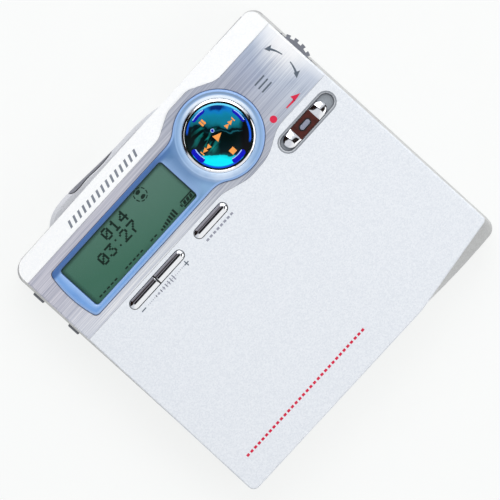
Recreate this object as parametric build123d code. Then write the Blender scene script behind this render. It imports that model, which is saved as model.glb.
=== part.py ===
from build123d import *
import math
import os

# A pocket disc recorder: a shallow metal case, a sprung mechanism deck, a tray
# that lifts the disc cartridge, and a lid that carries the display and keys.
# +X is the reader's right, +Y the hinge edge and +Z up.  The origin is the
# middle of the case's footprint, on its flat underside.  Millimetres.

os.makedirs("parts", exist_ok=True)

# ---------------------------------------------------------------- what it holds
DISC_WIDTH = 72.0
DISC_DEPTH = 68.0
DISC_HEIGHT = 5.0
BATTERY_LENGTH = DISC_WIDTH - 5.0
BATTERY_WIDTH = 17.0
BATTERY_HEIGHT = 6.0
PLUG_BORE_RADIUS = 1.8
JACK_DEPTH = 14.0
POWER_BORE_RADIUS = 1.9
POWER_PIN_RADIUS = 0.55

# ------------------------------------------------------------------ case, outside
SIDE_ROOM = 3.45
HINGE_ROOM = 2.8
CASE_WALL = 0.8
HOLDER_GAP = 0.4
BODY_WIDTH = DISC_WIDTH + 2 * SIDE_ROOM
BODY_DEPTH = CASE_WALL + HOLDER_GAP + DISC_DEPTH + HINGE_ROOM
HALF_WIDTH = BODY_WIDTH / 2
HALF_DEPTH = BODY_DEPTH / 2
REACH = BODY_WIDTH
FLOOR = 0.7
CASE_EDGE_RADIUS = 2.0
CAVITY_EDGE_RADIUS = 1.0
BELT_HEIGHT = 2.8
BELT_LIP_HEIGHT = 1.4
BELT_LIP_WALL = 0.75
BELT_LIP_RISE = 0.3
RELIEF_START_X = HALF_WIDTH - 24.5
RELIEF_RADIUS = 9.0
RELIEF_SWELL = 0.4
LID_DRAFT = 0.2
LID_FAR_DRAFTS = (1.0, 0.5)
LID_RELIEF_DEPTH = 2.8
LID_FAR_BOW = 0.25

# --------------------------------------------------------------------- lid layers
HOLDER_SHEET = 0.35
LINER_SHEET = 0.2
BOARD = 0.4
KEY_SPACE = 1.25
SKIN = 0.5
LID_RIM_HEIGHT = 1.0
LID_RIM_WALL = 0.8
LID_WALL = 0.6
LID_EDGE_RADIUS = 0.4
LID_GAP = 0.25
LEDGE = 1.5
LEDGE_HEIGHT = 0.5
PANEL_JOINT = 0.05
DISPLAY_RISE = 0.5
KEY_CROWN = 0.7
STRIP_FALL = 0.55

# ---------------------------------------------------------------------- clearances
SEAT_GAP = 0.1
STACK_GAP = 0.15
RUNNING_GAP = 0.05
LOOSE_GAP = 0.25

# ----------------------------------------------------------------------- the hinge
HINGE_RADIUS = 1.45
HINGE_INSET = 1.25
HINGE_PIN_RADIUS = 0.6
HINGE_RISE = 1.35
KNUCKLE_PITCH = 13.5
KNUCKLE_GAP = 0.3
HINGE_HALF_LENGTH = HALF_WIDTH - 3.35
HINGE_PIN_HALF_LENGTH = HALF_WIDTH - 1.85
FIRST_SEAM_X = 7.7 - HINGE_HALF_LENGTH
HINGE_SWEEP = 0.3
EAR_RADIUS = 1.2

# ------------------------------------------------------------- display and keys
KEY_X = HALF_WIDTH - 25.93
KEY_Y = HALF_DEPTH - 13.6
DISPLAY_X = (5.75 - HALF_WIDTH, KEY_X - 3.52)
DISPLAY_Y = (KEY_Y - 6.95, KEY_Y + 6.9)
DISPLAY_END_BOW = 0.9
DISPLAY_CORNER = 1.2
DISPLAY_NECK_RADIUS = 6.0
WINDOW_X = (7.6 - HALF_WIDTH, KEY_X - 12.72)
WINDOW_Y = (KEY_Y - 5.4, KEY_Y + 5.75)
WINDOW_CORNER = 0.5
LCD_MARGIN = 1.2
LCD_THICKNESS = 1.1
WINDOW_THICKNESS = 0.75
KEY_BEZEL_RADIUS = 10.2
KEY_RING_OUTER = 8.12
KEY_RING_INNER = 7.5
KEY_RADIUS = 7.25
KEY_RIM = 1.0
KEY_DOME = 0.35
KEY_STEM_RADIUS = 1.2
SWITCH_RING_RADIUS = 4.8
VOLUME_X = KEY_X - 32.38
VOLUME_LENGTH = 16.7
VOLUME_SPLIT = 0.24
KEY_ROW_Y = KEY_Y - 11.2
SLIM_KEY_WIDTH = 2.3
SLIM_KEY_RISE = 0.35
GROUP_X = VOLUME_X + 17.49
GROUP_LENGTH = 9.8
KEY_FLANGE = 0.45
KEY_FLANGE_HEIGHT = 0.4
SWITCH_HEIGHT = 0.2
RECORD_X = HALF_WIDTH - 10.8
RECORD_Y = KEY_Y - 12.3
RECORD_SLOT_LENGTH = 16.9
RECORD_SLOT_WIDTH = 4.7
RECORD_KNOB_LENGTH = 12.6
RECORD_KNOB_WIDTH = 3.4
RECORD_KNOB_OFFSET = -0.7
RECORD_KNOB_RISE = 0.45
RECORD_TRAY_FLOOR = 0.4
RECORD_TRAY_WALL = 0.3

# the brushed band across the lid lies between these two soft lines, whose
# corners are given from the control key's middle
NEAR_LINE = [(-9.02, -9.05), (-2.32, -11.3), (3.98, -11.1), (9.98, -8.2)]
NEAR_LINE_RADII = [8.0, 10.0, 10.0, 8.0]
FAR_LINE = [(-9.52, 9.1), (-3.72, 11.7), (2.68, 11.7), (8.68, 8.4)]
FAR_LINE_RADII = [6.0, 4.0, 4.0, 6.0]

# ------------------------------------------------------------------- thumb wheel
WHEEL_RADIUS = 7.8
WHEEL_PROUD = 1.2
WHEEL_Y = KEY_Y + 0.4
WHEEL_THICKNESS = 1.5
WHEEL_TEETH = 24
WHEEL_TOOTH_DEPTH = 0.65
WHEEL_TOOTH_GAP = 1.0
WHEEL_PIN_RADIUS = 0.9
WHEEL_PUSH = 0.8

# ---------------------------------------------------------------- edge controls
SIDE_BUTTON_YS = (HALF_DEPTH - 8.5, HALF_DEPTH - 18.8)
SIDE_BUTTON_LENGTH = 3.0
SIDE_BUTTON_HEIGHT = 1.5
SIDE_BUTTON_PROUD = 0.65
SIDE_BUTTON_TRAVEL = 0.3
OPEN_SLIDER_Y = 12.0 - HALF_DEPTH
OPEN_SLIDER_LENGTH = 6.0
OPEN_SLIDER_TRAVEL = 2.0
HOLD_X = -20.0
HOLD_LENGTH = 4.6
HOLD_TRAVEL = 2.0
SLIDER_HEIGHT = 1.5

# -------------------------------------------------------------- mechanism below
DECK = 0.4
DECK_HALF = HALF_WIDTH - 2.05
DISC_NEAR_Y = CASE_WALL + HOLDER_GAP - HALF_DEPTH
DISC_FAR_Y = DISC_NEAR_Y + DISC_DEPTH
DISC_CENTRE_Y = (DISC_NEAR_Y + DISC_FAR_Y) / 2
MOTOR_RADIUS = 10.5
MOTOR_HEIGHT = 4.5
SPINDLE_RADIUS = 0.75
TURNTABLE_RADIUS = 6.0
TURNTABLE_BOSS_RADIUS = 2.8
DECK_HOLE_RADIUS = 8.2
ROD_RADIUS = 0.75
ROD_SPACING = 12.4
ROD_Z = 4.0
SLED_START = MOTOR_RADIUS + 1.1
SLED_LENGTH = 8.8
SLED_END_ROOM = 1.0
SLED_TRAVEL = DECK_HALF - SLED_END_ROOM - SLED_LENGTH - SLED_START
SLED_X = (SLED_START, SLED_START + SLED_LENGTH)
LENS_X = SLED_START + 3.1
LENS_RADIUS = 1.9
SCREW_RADIUS = 0.8
SCREW_Y = DISC_CENTRE_Y + 17.2
SLED_MOTOR_RADIUS = 2.9
SLED_MOTOR_LENGTH = 12.8
SLED_MOTOR_MOUTH = 2.0
BATTERY_END_ROOM = 0.75
BATTERY_SIDE_ROOM = 0.6
BATTERY_FAR_Y = CASE_WALL + BATTERY_SIDE_ROOM + BATTERY_WIDTH - HALF_DEPTH
JACK_XS = (-21.5, 14.5, 23.5)
JACK_PROUD = 1.7
JACK_BLOCK = 6.2
JACK_HEIGHT = 5.2
JACK_Z = 4.0
POWER_JACK_Y = HALF_DEPTH - 24.0
POWER_JACK_LENGTH = 9.5
POWER_JACK_WIDTH = 5.6
SCREW_X = HALF_WIDTH - 2.85
SCREW_POINTS = [
    (SCREW_X, 5.0 - HALF_DEPTH), (SCREW_X, HALF_DEPTH - 5.5), (-SCREW_X, HALF_DEPTH - 5.5),
    (-SCREW_X, BATTERY_FAR_Y + 3.3),
]
BOSS_RADIUS = 1.4
CASE_SCREW_RADIUS = 0.7
CASE_SCREW_HEAD = 1.3
POST_RADIUS = 1.0
DAMPER_RADIUS = 1.6
DAMPER_HEIGHT = 0.8
MOUNT_POINTS = [
    (HALF_WIDTH - 6.85, 6.5 - HALF_DEPTH), (HALF_WIDTH - 7.45, HALF_DEPTH - 6.4),
    (8.45 - HALF_WIDTH, HALF_DEPTH - 6.4), (-10.5, BATTERY_FAR_Y + DAMPER_RADIUS + 0.2),
]
DOOR_WALL = 0.8
DOOR_HEIGHT = 6.0
DOOR_PIN_RADIUS = 0.25

# ------------------------------------------------------------------- rear bulge
# its points are given along X and by how far they stand out behind the case
BULGE_OUTLINE = [(-26.9, 0.0), (-23.6, 1.85), (-18.2, 2.15), (-4.8, 1.3), (4.7, 0.95), (9.5, 0.0)]
BULGE_HEIGHT = 9.9
BULGE_EDGE = 0.8
COVER_RECESS = [(-18.9, 3.0), (-17.9, 1.55), (-14.0, 1.2), (-8.9, 0.95), (-3.0, 1.6)]
COVER_GAP = 0.2

# ------------------------------------------------------------- heights, stacked
BATTERY_BOTTOM = FLOOR + STACK_GAP
BATTERY_TOP = BATTERY_BOTTOM + BATTERY_HEIGHT
DECK_BOTTOM = BATTERY_TOP + STACK_GAP
DECK_TOP = DECK_BOTTOM + DECK
HOLDER_BOTTOM = DECK_TOP + HOLDER_GAP
DISC_BOTTOM = HOLDER_BOTTOM + HOLDER_SHEET + SEAT_GAP
DISC_TOP = DISC_BOTTOM + DISC_HEIGHT
HOLDER_ROOF = DISC_TOP + SEAT_GAP
HOLDER_TOP = HOLDER_ROOF + HOLDER_SHEET
LINER_BOTTOM = HOLDER_TOP + LOOSE_GAP
LINER_TOP = LINER_BOTTOM + LINER_SHEET
BOARD_BOTTOM = LINER_TOP + SEAT_GAP
BOARD_TOP = BOARD_BOTTOM + BOARD
SKIN_BOTTOM = BOARD_TOP + KEY_SPACE
SKIN_TOP = SKIN_BOTTOM + SKIN
CROWN_BOTTOM = SKIN_TOP - LID_RIM_HEIGHT
BELT_BOTTOM = DISC_BOTTOM + HOLDER_SHEET
BELT_TOP = BELT_BOTTOM + BELT_HEIGHT
LID_BOTTOM = BELT_TOP + LID_GAP
HINGE_Z = LID_BOTTOM + HINGE_RISE
HINGE_Y = BODY_DEPTH / 2 - HINGE_INSET
BELT_MIDDLE = (BELT_BOTTOM + BELT_TOP) / 2

BATTERY_X = DOOR_WALL + BATTERY_END_ROOM + BATTERY_LENGTH / 2 - HALF_WIDTH
BATTERY_Y = BATTERY_FAR_Y - BATTERY_WIDTH / 2
RECORD_LOW = BOARD_TOP + 0.3
WHEEL_X = HALF_WIDTH + WHEEL_PROUD - WHEEL_RADIUS
WHEEL_TOP = SKIN_BOTTOM - STACK_GAP
WHEEL_BOTTOM = WHEEL_TOP - WHEEL_THICKNESS
HOLDER_HALF_INNER = DISC_WIDTH / 2 + HOLDER_SHEET
HOLDER_HALF_OUTER = HOLDER_HALF_INNER + HOLDER_GAP


# ---------------------------------------------------------------- small helpers
def block(x_span, y_span, z_span):
    """A box from its lowest to its highest corner."""
    sizes = [high - low for low, high in (x_span, y_span, z_span)]
    middle = [(low + high) / 2 for low, high in (x_span, y_span, z_span)]
    return Pos(*middle) * Box(*sizes)


def around(centre, size):
    """The span of a given size about a centre."""
    return (centre - size / 2, centre + size / 2)


def post(x, y, z_span, radius):
    """An upright cylinder."""
    low, high = z_span
    return Pos(x, y, (low + high) / 2) * Cylinder(radius, high - low)


def bar_x(x_span, y, z, radius):
    """A cylinder lying along X."""
    low, high = x_span
    return Pos((low + high) / 2, y, z) * Rot(0, 90, 0) * Cylinder(radius, high - low)


def bar_y(x, y_span, z, radius):
    """A cylinder lying along Y."""
    low, high = y_span
    return Pos(x, (low + high) / 2, z) * Rot(90, 0, 0) * Cylinder(radius, high - low)


def slab(face, z_span):
    """A flat face raised between two heights."""
    low, high = z_span
    return extrude(Pos(0, 0, low) * face, high - low)


def stadium(x, y, length, width):
    """A flat slot shape with round ends, its length along X."""
    return Pos(x, y) * SlotOverall(length, width)


def rounded(x_span, y_span, radius):
    """A flat rectangle with round corners."""
    width, height = x_span[1] - x_span[0], y_span[1] - y_span[0]
    return Pos(sum(x_span) / 2, sum(y_span) / 2) * RectangleRounded(width, height, radius)


def plan(corners, bows, radii):
    """A closed flat outline: each side bowed outward, each corner rounded."""
    sides = []
    for index, start in enumerate(corners):
        here, there = Vector(*start), Vector(*corners[(index + 1) % len(corners)])
        along = (there - here).normalized()
        middle = (here + there) * 0.5 + Vector(along.Y, -along.X) * bows[index]
        sides.append(ThreePointArc(here, middle, there) if bows[index] else Line(here, there))
    face = Face(Wire(sides))
    for corner, radius in zip(corners, radii):
        nearest = face.vertices().sort_by_distance(Vector(*corner))[0]
        face = face.fillet_2d(radius, [nearest])
    return face


def body_plan(inset=0.0):
    """The case's outline seen from above, drawn in by an even inset."""
    right, far = HALF_WIDTH - inset, HALF_DEPTH - inset
    corners = [
        (-right, -far), (RELIEF_START_X, -far - RELIEF_SWELL / 2), (right, -far - RELIEF_SWELL),
        (right, far), (-right, far),
    ]
    radii = [max(radius - inset, 0.5) for radius in (2.5, RELIEF_RADIUS, 2.5, 3.0, 3.5)]
    return plan(corners, [0, RELIEF_SWELL, 0, 0, 0], radii)


def lid_plan(inset=0.0):
    """The outline of the lid's top: cut back at the near right corner, for a finger."""
    near, depth = HALF_WIDTH - LID_DRAFT - inset, HALF_DEPTH - inset
    far_left, far_right = (HALF_WIDTH - draft - inset for draft in LID_FAR_DRAFTS)
    corners = [
        (-near, -depth), (RELIEF_START_X, -depth - LID_FAR_BOW), (near, -depth + LID_RELIEF_DEPTH),
        (far_right, depth), (-far_left, depth),
    ]
    radii = [max(radius - inset, 0.5) for radius in (1.6, RELIEF_RADIUS - 1, 1.1, 2.4, 3.3)]
    return plan(corners, [0, 0, 0, LID_FAR_BOW, 0], radii)


def zone(points, radii, shift, far_y):
    """All of the lid on one side of a soft line, moved by a small shift."""
    moved = [(KEY_X + x, KEY_Y + y + shift) for x, y in points]
    moved = [(-REACH, moved[0][1]), *moved, (REACH, moved[-1][1])]
    line = FilletPolyline(*moved, radius=radii)
    start, end = moved[0], moved[-1]
    back = Polyline(end, (end[0], far_y), (start[0], far_y), start)
    return make_face(line + back)


def knuckle_spans(on_lid):
    """The hinge barrel's stretches along X, alternately the lid's and the case's."""
    seams = [-HINGE_HALF_LENGTH]
    seams += [FIRST_SEAM_X + KNUCKLE_PITCH * step for step in range(5)]
    seams += [HINGE_HALF_LENGTH]
    spans = []
    for index, (low, high) in enumerate(zip(seams, seams[1:])):
        if (index % 2 == 0) == on_lid:
            spans.append((low + KNUCKLE_GAP / 2, high - KNUCKLE_GAP / 2))
    return spans


# -------------------------------------------------------------------- the case
def case_outside():
    """The lower shell's outside, its bottom edge rolled."""
    solid = slab(body_plan(), (0, BELT_BOTTOM))
    return fillet(solid.faces().sort_by(Axis.Z)[0].edges(), CASE_EDGE_RADIUS)


def door_span():
    """The battery door's reach along Y."""
    return around(BATTERY_Y, BATTERY_WIDTH + 0.4)


def door_heights():
    """The battery door's reach along Z."""
    return (FLOOR + LOOSE_GAP, FLOOR + LOOSE_GAP + DOOR_HEIGHT)


def door_axis_y():
    """Where the battery door's pin stands, at its far end."""
    return door_span()[1] - DOOR_WALL / 2


def door_axis_x():
    """The battery door's pin, half a wall in from the case's side."""
    return -HALF_WIDTH + DOOR_WALL / 2


def bottom_case():
    """The pressed lower shell, with its screw holes, posts and jack holes."""
    cavity = slab(body_plan(CASE_WALL), (FLOOR, BELT_BOTTOM + 1))
    cavity = fillet(cavity.faces().sort_by(Axis.Z)[0].edges(), CAVITY_EDGE_RADIUS)
    shell = case_outside() - cavity
    for x, y in MOUNT_POINTS:
        shell += post(x, y, (FLOOR / 2, DECK_BOTTOM - DAMPER_HEIGHT), POST_RADIUS)
    for x, y in SCREW_POINTS:
        shell -= post(x, y, (-1, FLOOR + 0.5), CASE_SCREW_RADIUS + RUNNING_GAP)
        shell -= post(x, y, (-1, FLOOR / 2 + STACK_GAP), CASE_SCREW_HEAD + SEAT_GAP)
    for x in JACK_XS:
        shell -= bar_y(x, (HALF_DEPTH - 2, HALF_DEPTH + 1), JACK_Z, jack_collar() + RUNNING_GAP)
    shell -= bar_x((-HALF_WIDTH - 1, -HALF_WIDTH + 2), POWER_JACK_Y, JACK_Z, power_collar() + RUNNING_GAP)
    near, far = door_span()
    low, high = door_heights()
    gap = STACK_GAP
    wall = (-HALF_WIDTH - 1, -HALF_WIDTH + CASE_WALL + CAVITY_EDGE_RADIUS)
    shell -= block(wall, (near - gap, far + gap), (low - gap, high + gap))
    hole = post(door_axis_x(), door_axis_y(), (high, high + 0.8), DOOR_PIN_RADIUS + 0.01)
    return shell - hole


def belt_bosses():
    """The screw bosses that hang from the belt, each with a web to its lip."""
    top = BELT_BOTTOM - BELT_LIP_HEIGHT + 0.5
    bosses = []
    for x, y in SCREW_POINTS:
        side = math.copysign(1, x)
        wall = side * (HALF_WIDTH - CASE_WALL - SEAT_GAP)
        boss = post(x, y, (FLOOR + STACK_GAP, top), BOSS_RADIUS)
        web = block(tuple(sorted((x, wall))), around(y, BOSS_RADIUS), (DECK_BOTTOM - 1, top))
        bore = post(x, y, (FLOOR - 1, top - 1), CASE_SCREW_RADIUS)
        bosses.append(boss + web - bore)
    return bosses


def side_frame():
    """The grey belt between the case and the lid, with its inner lip and bosses."""
    ring = slab(body_plan(), (BELT_BOTTOM, BELT_TOP)) - slab(body_plan(CASE_WALL), (0, REACH))
    lip_outer = CASE_WALL + RUNNING_GAP
    lip = slab(body_plan(lip_outer), (BELT_BOTTOM - BELT_LIP_HEIGHT, BELT_BOTTOM + BELT_LIP_RISE))
    lip += slab(body_plan(CASE_WALL / 2), (BELT_BOTTOM, BELT_BOTTOM + BELT_LIP_RISE))
    lip -= slab(body_plan(lip_outer + BELT_LIP_WALL), (0, REACH))
    frame = ring + lip + belt_bosses()
    for y in SIDE_BUTTON_YS:
        frame -= side_button_hole(y)
    frame -= open_slot()
    frame -= hold_slot()
    return frame


def side_button_hole(y):
    """The window in the belt that a side button stands in."""
    width, height = SIDE_BUTTON_LENGTH + 2 * SEAT_GAP, SIDE_BUTTON_HEIGHT + 2 * SEAT_GAP
    return block((-HALF_WIDTH - 1, -HALF_WIDTH + 3), around(y, width), around(BELT_MIDDLE, height))


def open_slot():
    """The window in the belt that the lid release slides in."""
    middle = OPEN_SLIDER_Y + OPEN_SLIDER_TRAVEL / 2
    length = OPEN_SLIDER_LENGTH + OPEN_SLIDER_TRAVEL + 2 * SEAT_GAP
    height = SLIDER_HEIGHT + 2 * SEAT_GAP
    return block((HALF_WIDTH - 3, HALF_WIDTH + 1), around(middle, length), around(BELT_MIDDLE, height))


def hold_slot():
    """The window in the belt that the key lock slides in."""
    length = HOLD_LENGTH + HOLD_TRAVEL + 2 * SEAT_GAP
    height = SLIDER_HEIGHT + 2 * SEAT_GAP
    middle = HOLD_X + HOLD_TRAVEL / 2
    return block(around(middle, length), (-HALF_DEPTH - 1, -HALF_DEPTH + 3), around(BELT_MIDDLE, height))


def case_screws():
    """Countersunk screws, from the underside into the belt's bosses."""
    screws = []
    for x, y in SCREW_POINTS:
        head = post(x, y, (STACK_GAP, FLOOR / 2 + STACK_GAP), CASE_SCREW_HEAD)
        shank = post(x, y, (FLOOR / 2, FLOOR + 3.0), CASE_SCREW_RADIUS)
        screws.append(head + shank)
    return Compound(children=screws)


def bulge_face():
    """The rear bulge's outline, steep at its left and long to its right."""
    points = [(x, HALF_DEPTH + out) for x, out in BULGE_OUTLINE]
    return make_face(Spline(*points) + Line(points[-1], points[0]))


def recess_face(gap):
    """The leaf-shaped scoop in the bulge, drawn in by a gap."""
    points = [(x, HALF_DEPTH + out + gap) for x, out in COVER_RECESS]
    line = Spline(*points)
    start, end = points[0], points[-1]
    back = Polyline(end, (end[0], REACH), (start[0], REACH), start)
    return make_face(line + back)


def bulge_heights():
    """The bulge's reach along Z, up to just under the hinge barrel."""
    return (BELT_TOP - STACK_GAP - BULGE_HEIGHT, BELT_TOP - STACK_GAP)


def bulge_solid():
    """The whole bulge, its outer edges bevelled."""
    solid = slab(bulge_face(), bulge_heights())
    rims = [edge for face in solid.faces().filter_by(Axis.Z) for edge in face.edges()]
    outer = [edge for edge in rims if edge.geom_type != GeomType.LINE]
    return chamfer(outer, BULGE_EDGE)


def rear_bulge():
    """The silver bulge behind the hinge, scooped for its dark cover."""
    low, high = bulge_heights()
    scoop = slab(recess_face(0), (low + BULGE_EDGE, high + 1))
    bulge = bulge_solid() - scoop
    return bulge - bar_y(JACK_XS[0], (0, REACH), JACK_Z, jack_collar() + RUNNING_GAP)


def jack_cover():
    """The dark leaf-shaped cover in the bulge's scoop."""
    low, high = bulge_heights()
    leaf = slab(recess_face(COVER_GAP), (low + BULGE_EDGE + STACK_GAP, high - COVER_GAP))
    return bulge_solid() & leaf


# ------------------------------------------------------------------- the hinge
def hinge_bracket():
    """The case's half of the hinge: three barrels on one strip."""
    spans = knuckle_spans(False)
    inner = HALF_DEPTH - CASE_WALL
    back = (HINGE_Y - HINGE_RADIUS * 0.3, inner - RUNNING_GAP)
    bracket = block((spans[0][0], spans[-1][1]), back, (BELT_BOTTOM + 0.8, BELT_TOP - 0.2))
    for span in spans:
        bracket += bar_x(span, HINGE_Y, HINGE_Z, HINGE_RADIUS)
        bracket += block(span, back, (BELT_TOP - 0.5, HINGE_Z))
    return bracket - bar_x((-REACH, REACH), HINGE_Y, HINGE_Z, HINGE_PIN_RADIUS + 0.01)


def hinge_pin():
    """The one steel pin through every knuckle and both ears of the holder."""
    return bar_x((-HINGE_PIN_HALF_LENGTH, HINGE_PIN_HALF_LENGTH), HINGE_Y, HINGE_Z, HINGE_PIN_RADIUS)


# ------------------------------------------------------------- inside the case
def chassis_plate():
    """The pressed deck under the disc: cut-outs, side lips and rod tabs."""
    near, far = DISC_NEAR_Y + HOLDER_GAP, DISC_FAR_Y
    deck = slab(rounded((-DECK_HALF, DECK_HALF), (near, far), 2.0), (DECK_BOTTOM, DECK_TOP))
    lip_z = (DECK_BOTTOM, DISC_BOTTOM + 2.0)
    lip_left = (-DECK_HALF, -HOLDER_HALF_OUTER - 0.2)
    lip_right = (HOLDER_HALF_OUTER + 0.2, DECK_HALF)
    deck += block(lip_right, (near + 16.4, far - 8), lip_z)
    deck += block(lip_left, (near + 24.4, far - 21.2), lip_z)
    deck -= post(0, DISC_CENTRE_Y, (0, DISC_TOP), DECK_HOLE_RADIUS)
    slot_end = LENS_X + SLED_TRAVEL + LENS_RADIUS + 1.3
    deck -= slab(rounded((5, slot_end), around(DISC_CENTRE_Y, 11.0), 1.0), (0, DISC_TOP))
    deck -= slab(rounded((8.45 - HALF_WIDTH, -14), around(DISC_CENTRE_Y, 14.0), 2.0), (0, DISC_TOP))
    deck -= slab(rounded((-9, 9), (SCREW_Y - 3.9, SCREW_Y + 2.1), 1.5), (0, DISC_TOP))
    for x, y in SCREW_POINTS:
        deck -= post(x, y, (0, DISC_BOTTOM), BOSS_RADIUS + LOOSE_GAP)
        side = math.copysign(1, x)
        edge = tuple(sorted((x, side * REACH / 2)))
        deck -= block(edge, around(y, 2 * (BOSS_RADIUS + LOOSE_GAP)), (0, DISC_BOTTOM))
    for x, y in MOUNT_POINTS:
        deck -= post(x, y, (0, DISC_TOP), POST_RADIUS - 0.2)
    return deck + rod_tabs()


def rod_tabs():
    """Tabs bent down from the deck that hold the rods and the lead screw's end."""
    start, end = rod_span()
    tabs = []
    for sign in (-1, 1):
        y = DISC_CENTRE_Y + sign * ROD_SPACING
        for x in (start + 0.5, end - 0.5):
            tab = block(around(x, 0.6), around(y, 3.0), (ROD_Z - 1.5, DECK_BOTTOM + 0.1))
            tabs.append(tab - bar_x((x - 1, x + 1), y, ROD_Z, ROD_RADIUS + 0.01))
    x = end - 0.5
    tab = block(around(x, 0.6), around(SCREW_Y, 2.8), (ROD_Z - 1.5, DECK_BOTTOM + 0.1))
    tabs.append(tab - bar_x((x - 1, x + 1), SCREW_Y, ROD_Z, SCREW_RADIUS + RUNNING_GAP))
    return tabs


def rod_span():
    """The guide rods' reach along X, past the sled at both its ends."""
    return (SLED_X[0] - 2.2, SLED_X[1] + SLED_TRAVEL + 0.9)


def guide_rods():
    """The two ground rods that the sled slides on."""
    ys = (DISC_CENTRE_Y - ROD_SPACING, DISC_CENTRE_Y + ROD_SPACING)
    return Compound(children=[bar_x(rod_span(), y, ROD_Z, ROD_RADIUS) for y in ys])


def spindle_motor():
    """The flat motor under the middle of the disc, bored for its spindle."""
    can = post(0, DISC_CENTRE_Y, (FLOOR, FLOOR + MOTOR_HEIGHT - 0.6), MOTOR_RADIUS)
    cap = post(0, DISC_CENTRE_Y, (FLOOR, FLOOR + MOTOR_HEIGHT), MOTOR_RADIUS - 2)
    bore = post(0, DISC_CENTRE_Y, (FLOOR + 1.5, DISC_TOP), SPINDLE_RADIUS + RUNNING_GAP)
    return can + cap - bore


def turntable():
    """The driven table and its spindle, below the disc's hub."""
    top = DISC_BOTTOM - RUNNING_GAP
    spindle = post(0, DISC_CENTRE_Y, (FLOOR + 1.7, top - 1.0), SPINDLE_RADIUS)
    table = post(0, DISC_CENTRE_Y, (top - 1.0, top - 0.5), TURNTABLE_RADIUS)
    boss = post(0, DISC_CENTRE_Y, (top - 0.5, top), TURNTABLE_BOSS_RADIUS)
    boss = chamfer(boss.faces().sort_by(Axis.Z)[-1].edges(), 0.3)
    notches = []
    for step in range(3):
        turn = Pos(0, DISC_CENTRE_Y) * Rot(0, 0, 120 * step) * Pos(TURNTABLE_RADIUS - 1.4, 0)
        notches.append(turn * post(0, 0, (top - 2, top), 0.7))
    return spindle + table + boss - notches


def pickup_sled():
    """The optical block's carrier, on both rods, with its arm to the lead screw."""
    reach = ROD_SPACING + 1.6
    sled = block(SLED_X, around(DISC_CENTRE_Y, 2 * reach), (FLOOR + 1.4, DECK_BOTTOM - 0.8))
    waist = block((SLED_X[0] + 3, SLED_X[1] + 1), around(DISC_CENTRE_Y + 8.4, 3.4), (0, DISC_TOP))
    sled -= waist
    sled += post(LENS_X, DISC_CENTRE_Y, (DECK_BOTTOM - 1.0, DECK_TOP + 0.2), LENS_RADIUS + 0.7)
    sled -= post(LENS_X, DISC_CENTRE_Y, (DECK_TOP - 0.4, DISC_TOP), LENS_RADIUS + 0.02)
    for sign in (-1, 1):
        y = DISC_CENTRE_Y + sign * ROD_SPACING
        sled -= bar_x((0, REACH), y, ROD_Z, ROD_RADIUS + RUNNING_GAP)
    arm_far = SCREW_Y - SCREW_RADIUS - STACK_GAP
    arm = block((SLED_X[0] + 1, SLED_X[0] + 5), (DISC_CENTRE_Y + reach - 0.5, arm_far), around(ROD_Z, 1.6))
    return sled + arm


def pickup_lens():
    """The objective lens, a shallow dome in the sled's ring."""
    low, top = DECK_TOP - 0.4, DISC_BOTTOM - RUNNING_GAP
    lens = post(LENS_X, DISC_CENTRE_Y, (low, top), LENS_RADIUS)
    return fillet(lens.faces().sort_by(Axis.Z)[-1].edges(), 0.35)


def sled_motor():
    """The small motor that turns the lead screw."""
    end = SLED_START - 1.2
    can = bar_x((end - SLED_MOTOR_LENGTH, end), SCREW_Y, ROD_Z, SLED_MOTOR_RADIUS)
    return can - bar_x((end - SLED_MOTOR_MOUTH, end + 1), SCREW_Y, ROD_Z, SCREW_RADIUS + RUNNING_GAP)


def lead_screw():
    """The screw that drives the sled along its rods."""
    start = SLED_START - 1.0 - SLED_MOTOR_MOUTH
    return bar_x((start, rod_span()[1]), SCREW_Y, ROD_Z, SCREW_RADIUS)


def shock_mounts():
    """Rubber rings between the case's posts and the deck."""
    rings = []
    for x, y in MOUNT_POINTS:
        rings.append(post(x, y, (DECK_BOTTOM - DAMPER_HEIGHT, DECK_BOTTOM), DAMPER_RADIUS)
                     - post(x, y, (0, DISC_TOP), POST_RADIUS - 0.2))
    return Compound(children=rings)


def chassis_screws():
    """The deck's screws, each through its rubber ring into a post."""
    screws = []
    for x, y in MOUNT_POINTS:
        head = post(x, y, (DECK_TOP, DECK_TOP + 0.35), DAMPER_RADIUS - 0.1)
        shank = post(x, y, (DECK_BOTTOM - DAMPER_HEIGHT, DECK_TOP + 0.1), POST_RADIUS - 0.25)
        screws.append(head + shank)
    return Compound(children=screws)


def board_right():
    """The board's edge beside the motor."""
    return -MOTOR_RADIUS - 1.9


def main_board():
    """The circuit board beside the motor."""
    far = POWER_JACK_Y - POWER_JACK_WIDTH / 2 - 0.7
    near = BATTERY_FAR_Y + 0.7
    face = rounded((4.65 - HALF_WIDTH, board_right()), (near, far), 1.0)
    return slab(face, (BATTERY_TOP - 1.6, BATTERY_TOP - 1.0))


def board_chips():
    """The larger chips on the board."""
    top = BATTERY_TOP - 1.0
    edge = BATTERY_FAR_Y
    left, right = 8.45 - HALF_WIDTH, board_right() - 2.1
    chips = [
        block((left, right - 7.5), (edge + 5.6, edge + 14.6), (top, top + 0.7)),
        block((right - 5.5, right), (edge + 7.6, edge + 13.1), (top, top + 0.6)),
        block((left + 1.0, left + 6.5), (edge + 17.6, edge + 21.6), (top, top + 0.6)),
    ]
    return Compound(children=chips)


def battery():
    """The flat chewing-gum cell, its long edges rounded."""
    x_span = around(BATTERY_X, BATTERY_LENGTH)
    cell = block(x_span, around(BATTERY_Y, BATTERY_WIDTH), (BATTERY_BOTTOM, BATTERY_TOP))
    return fillet(cell.edges().filter_by(Axis.X), 1.0)


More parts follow.
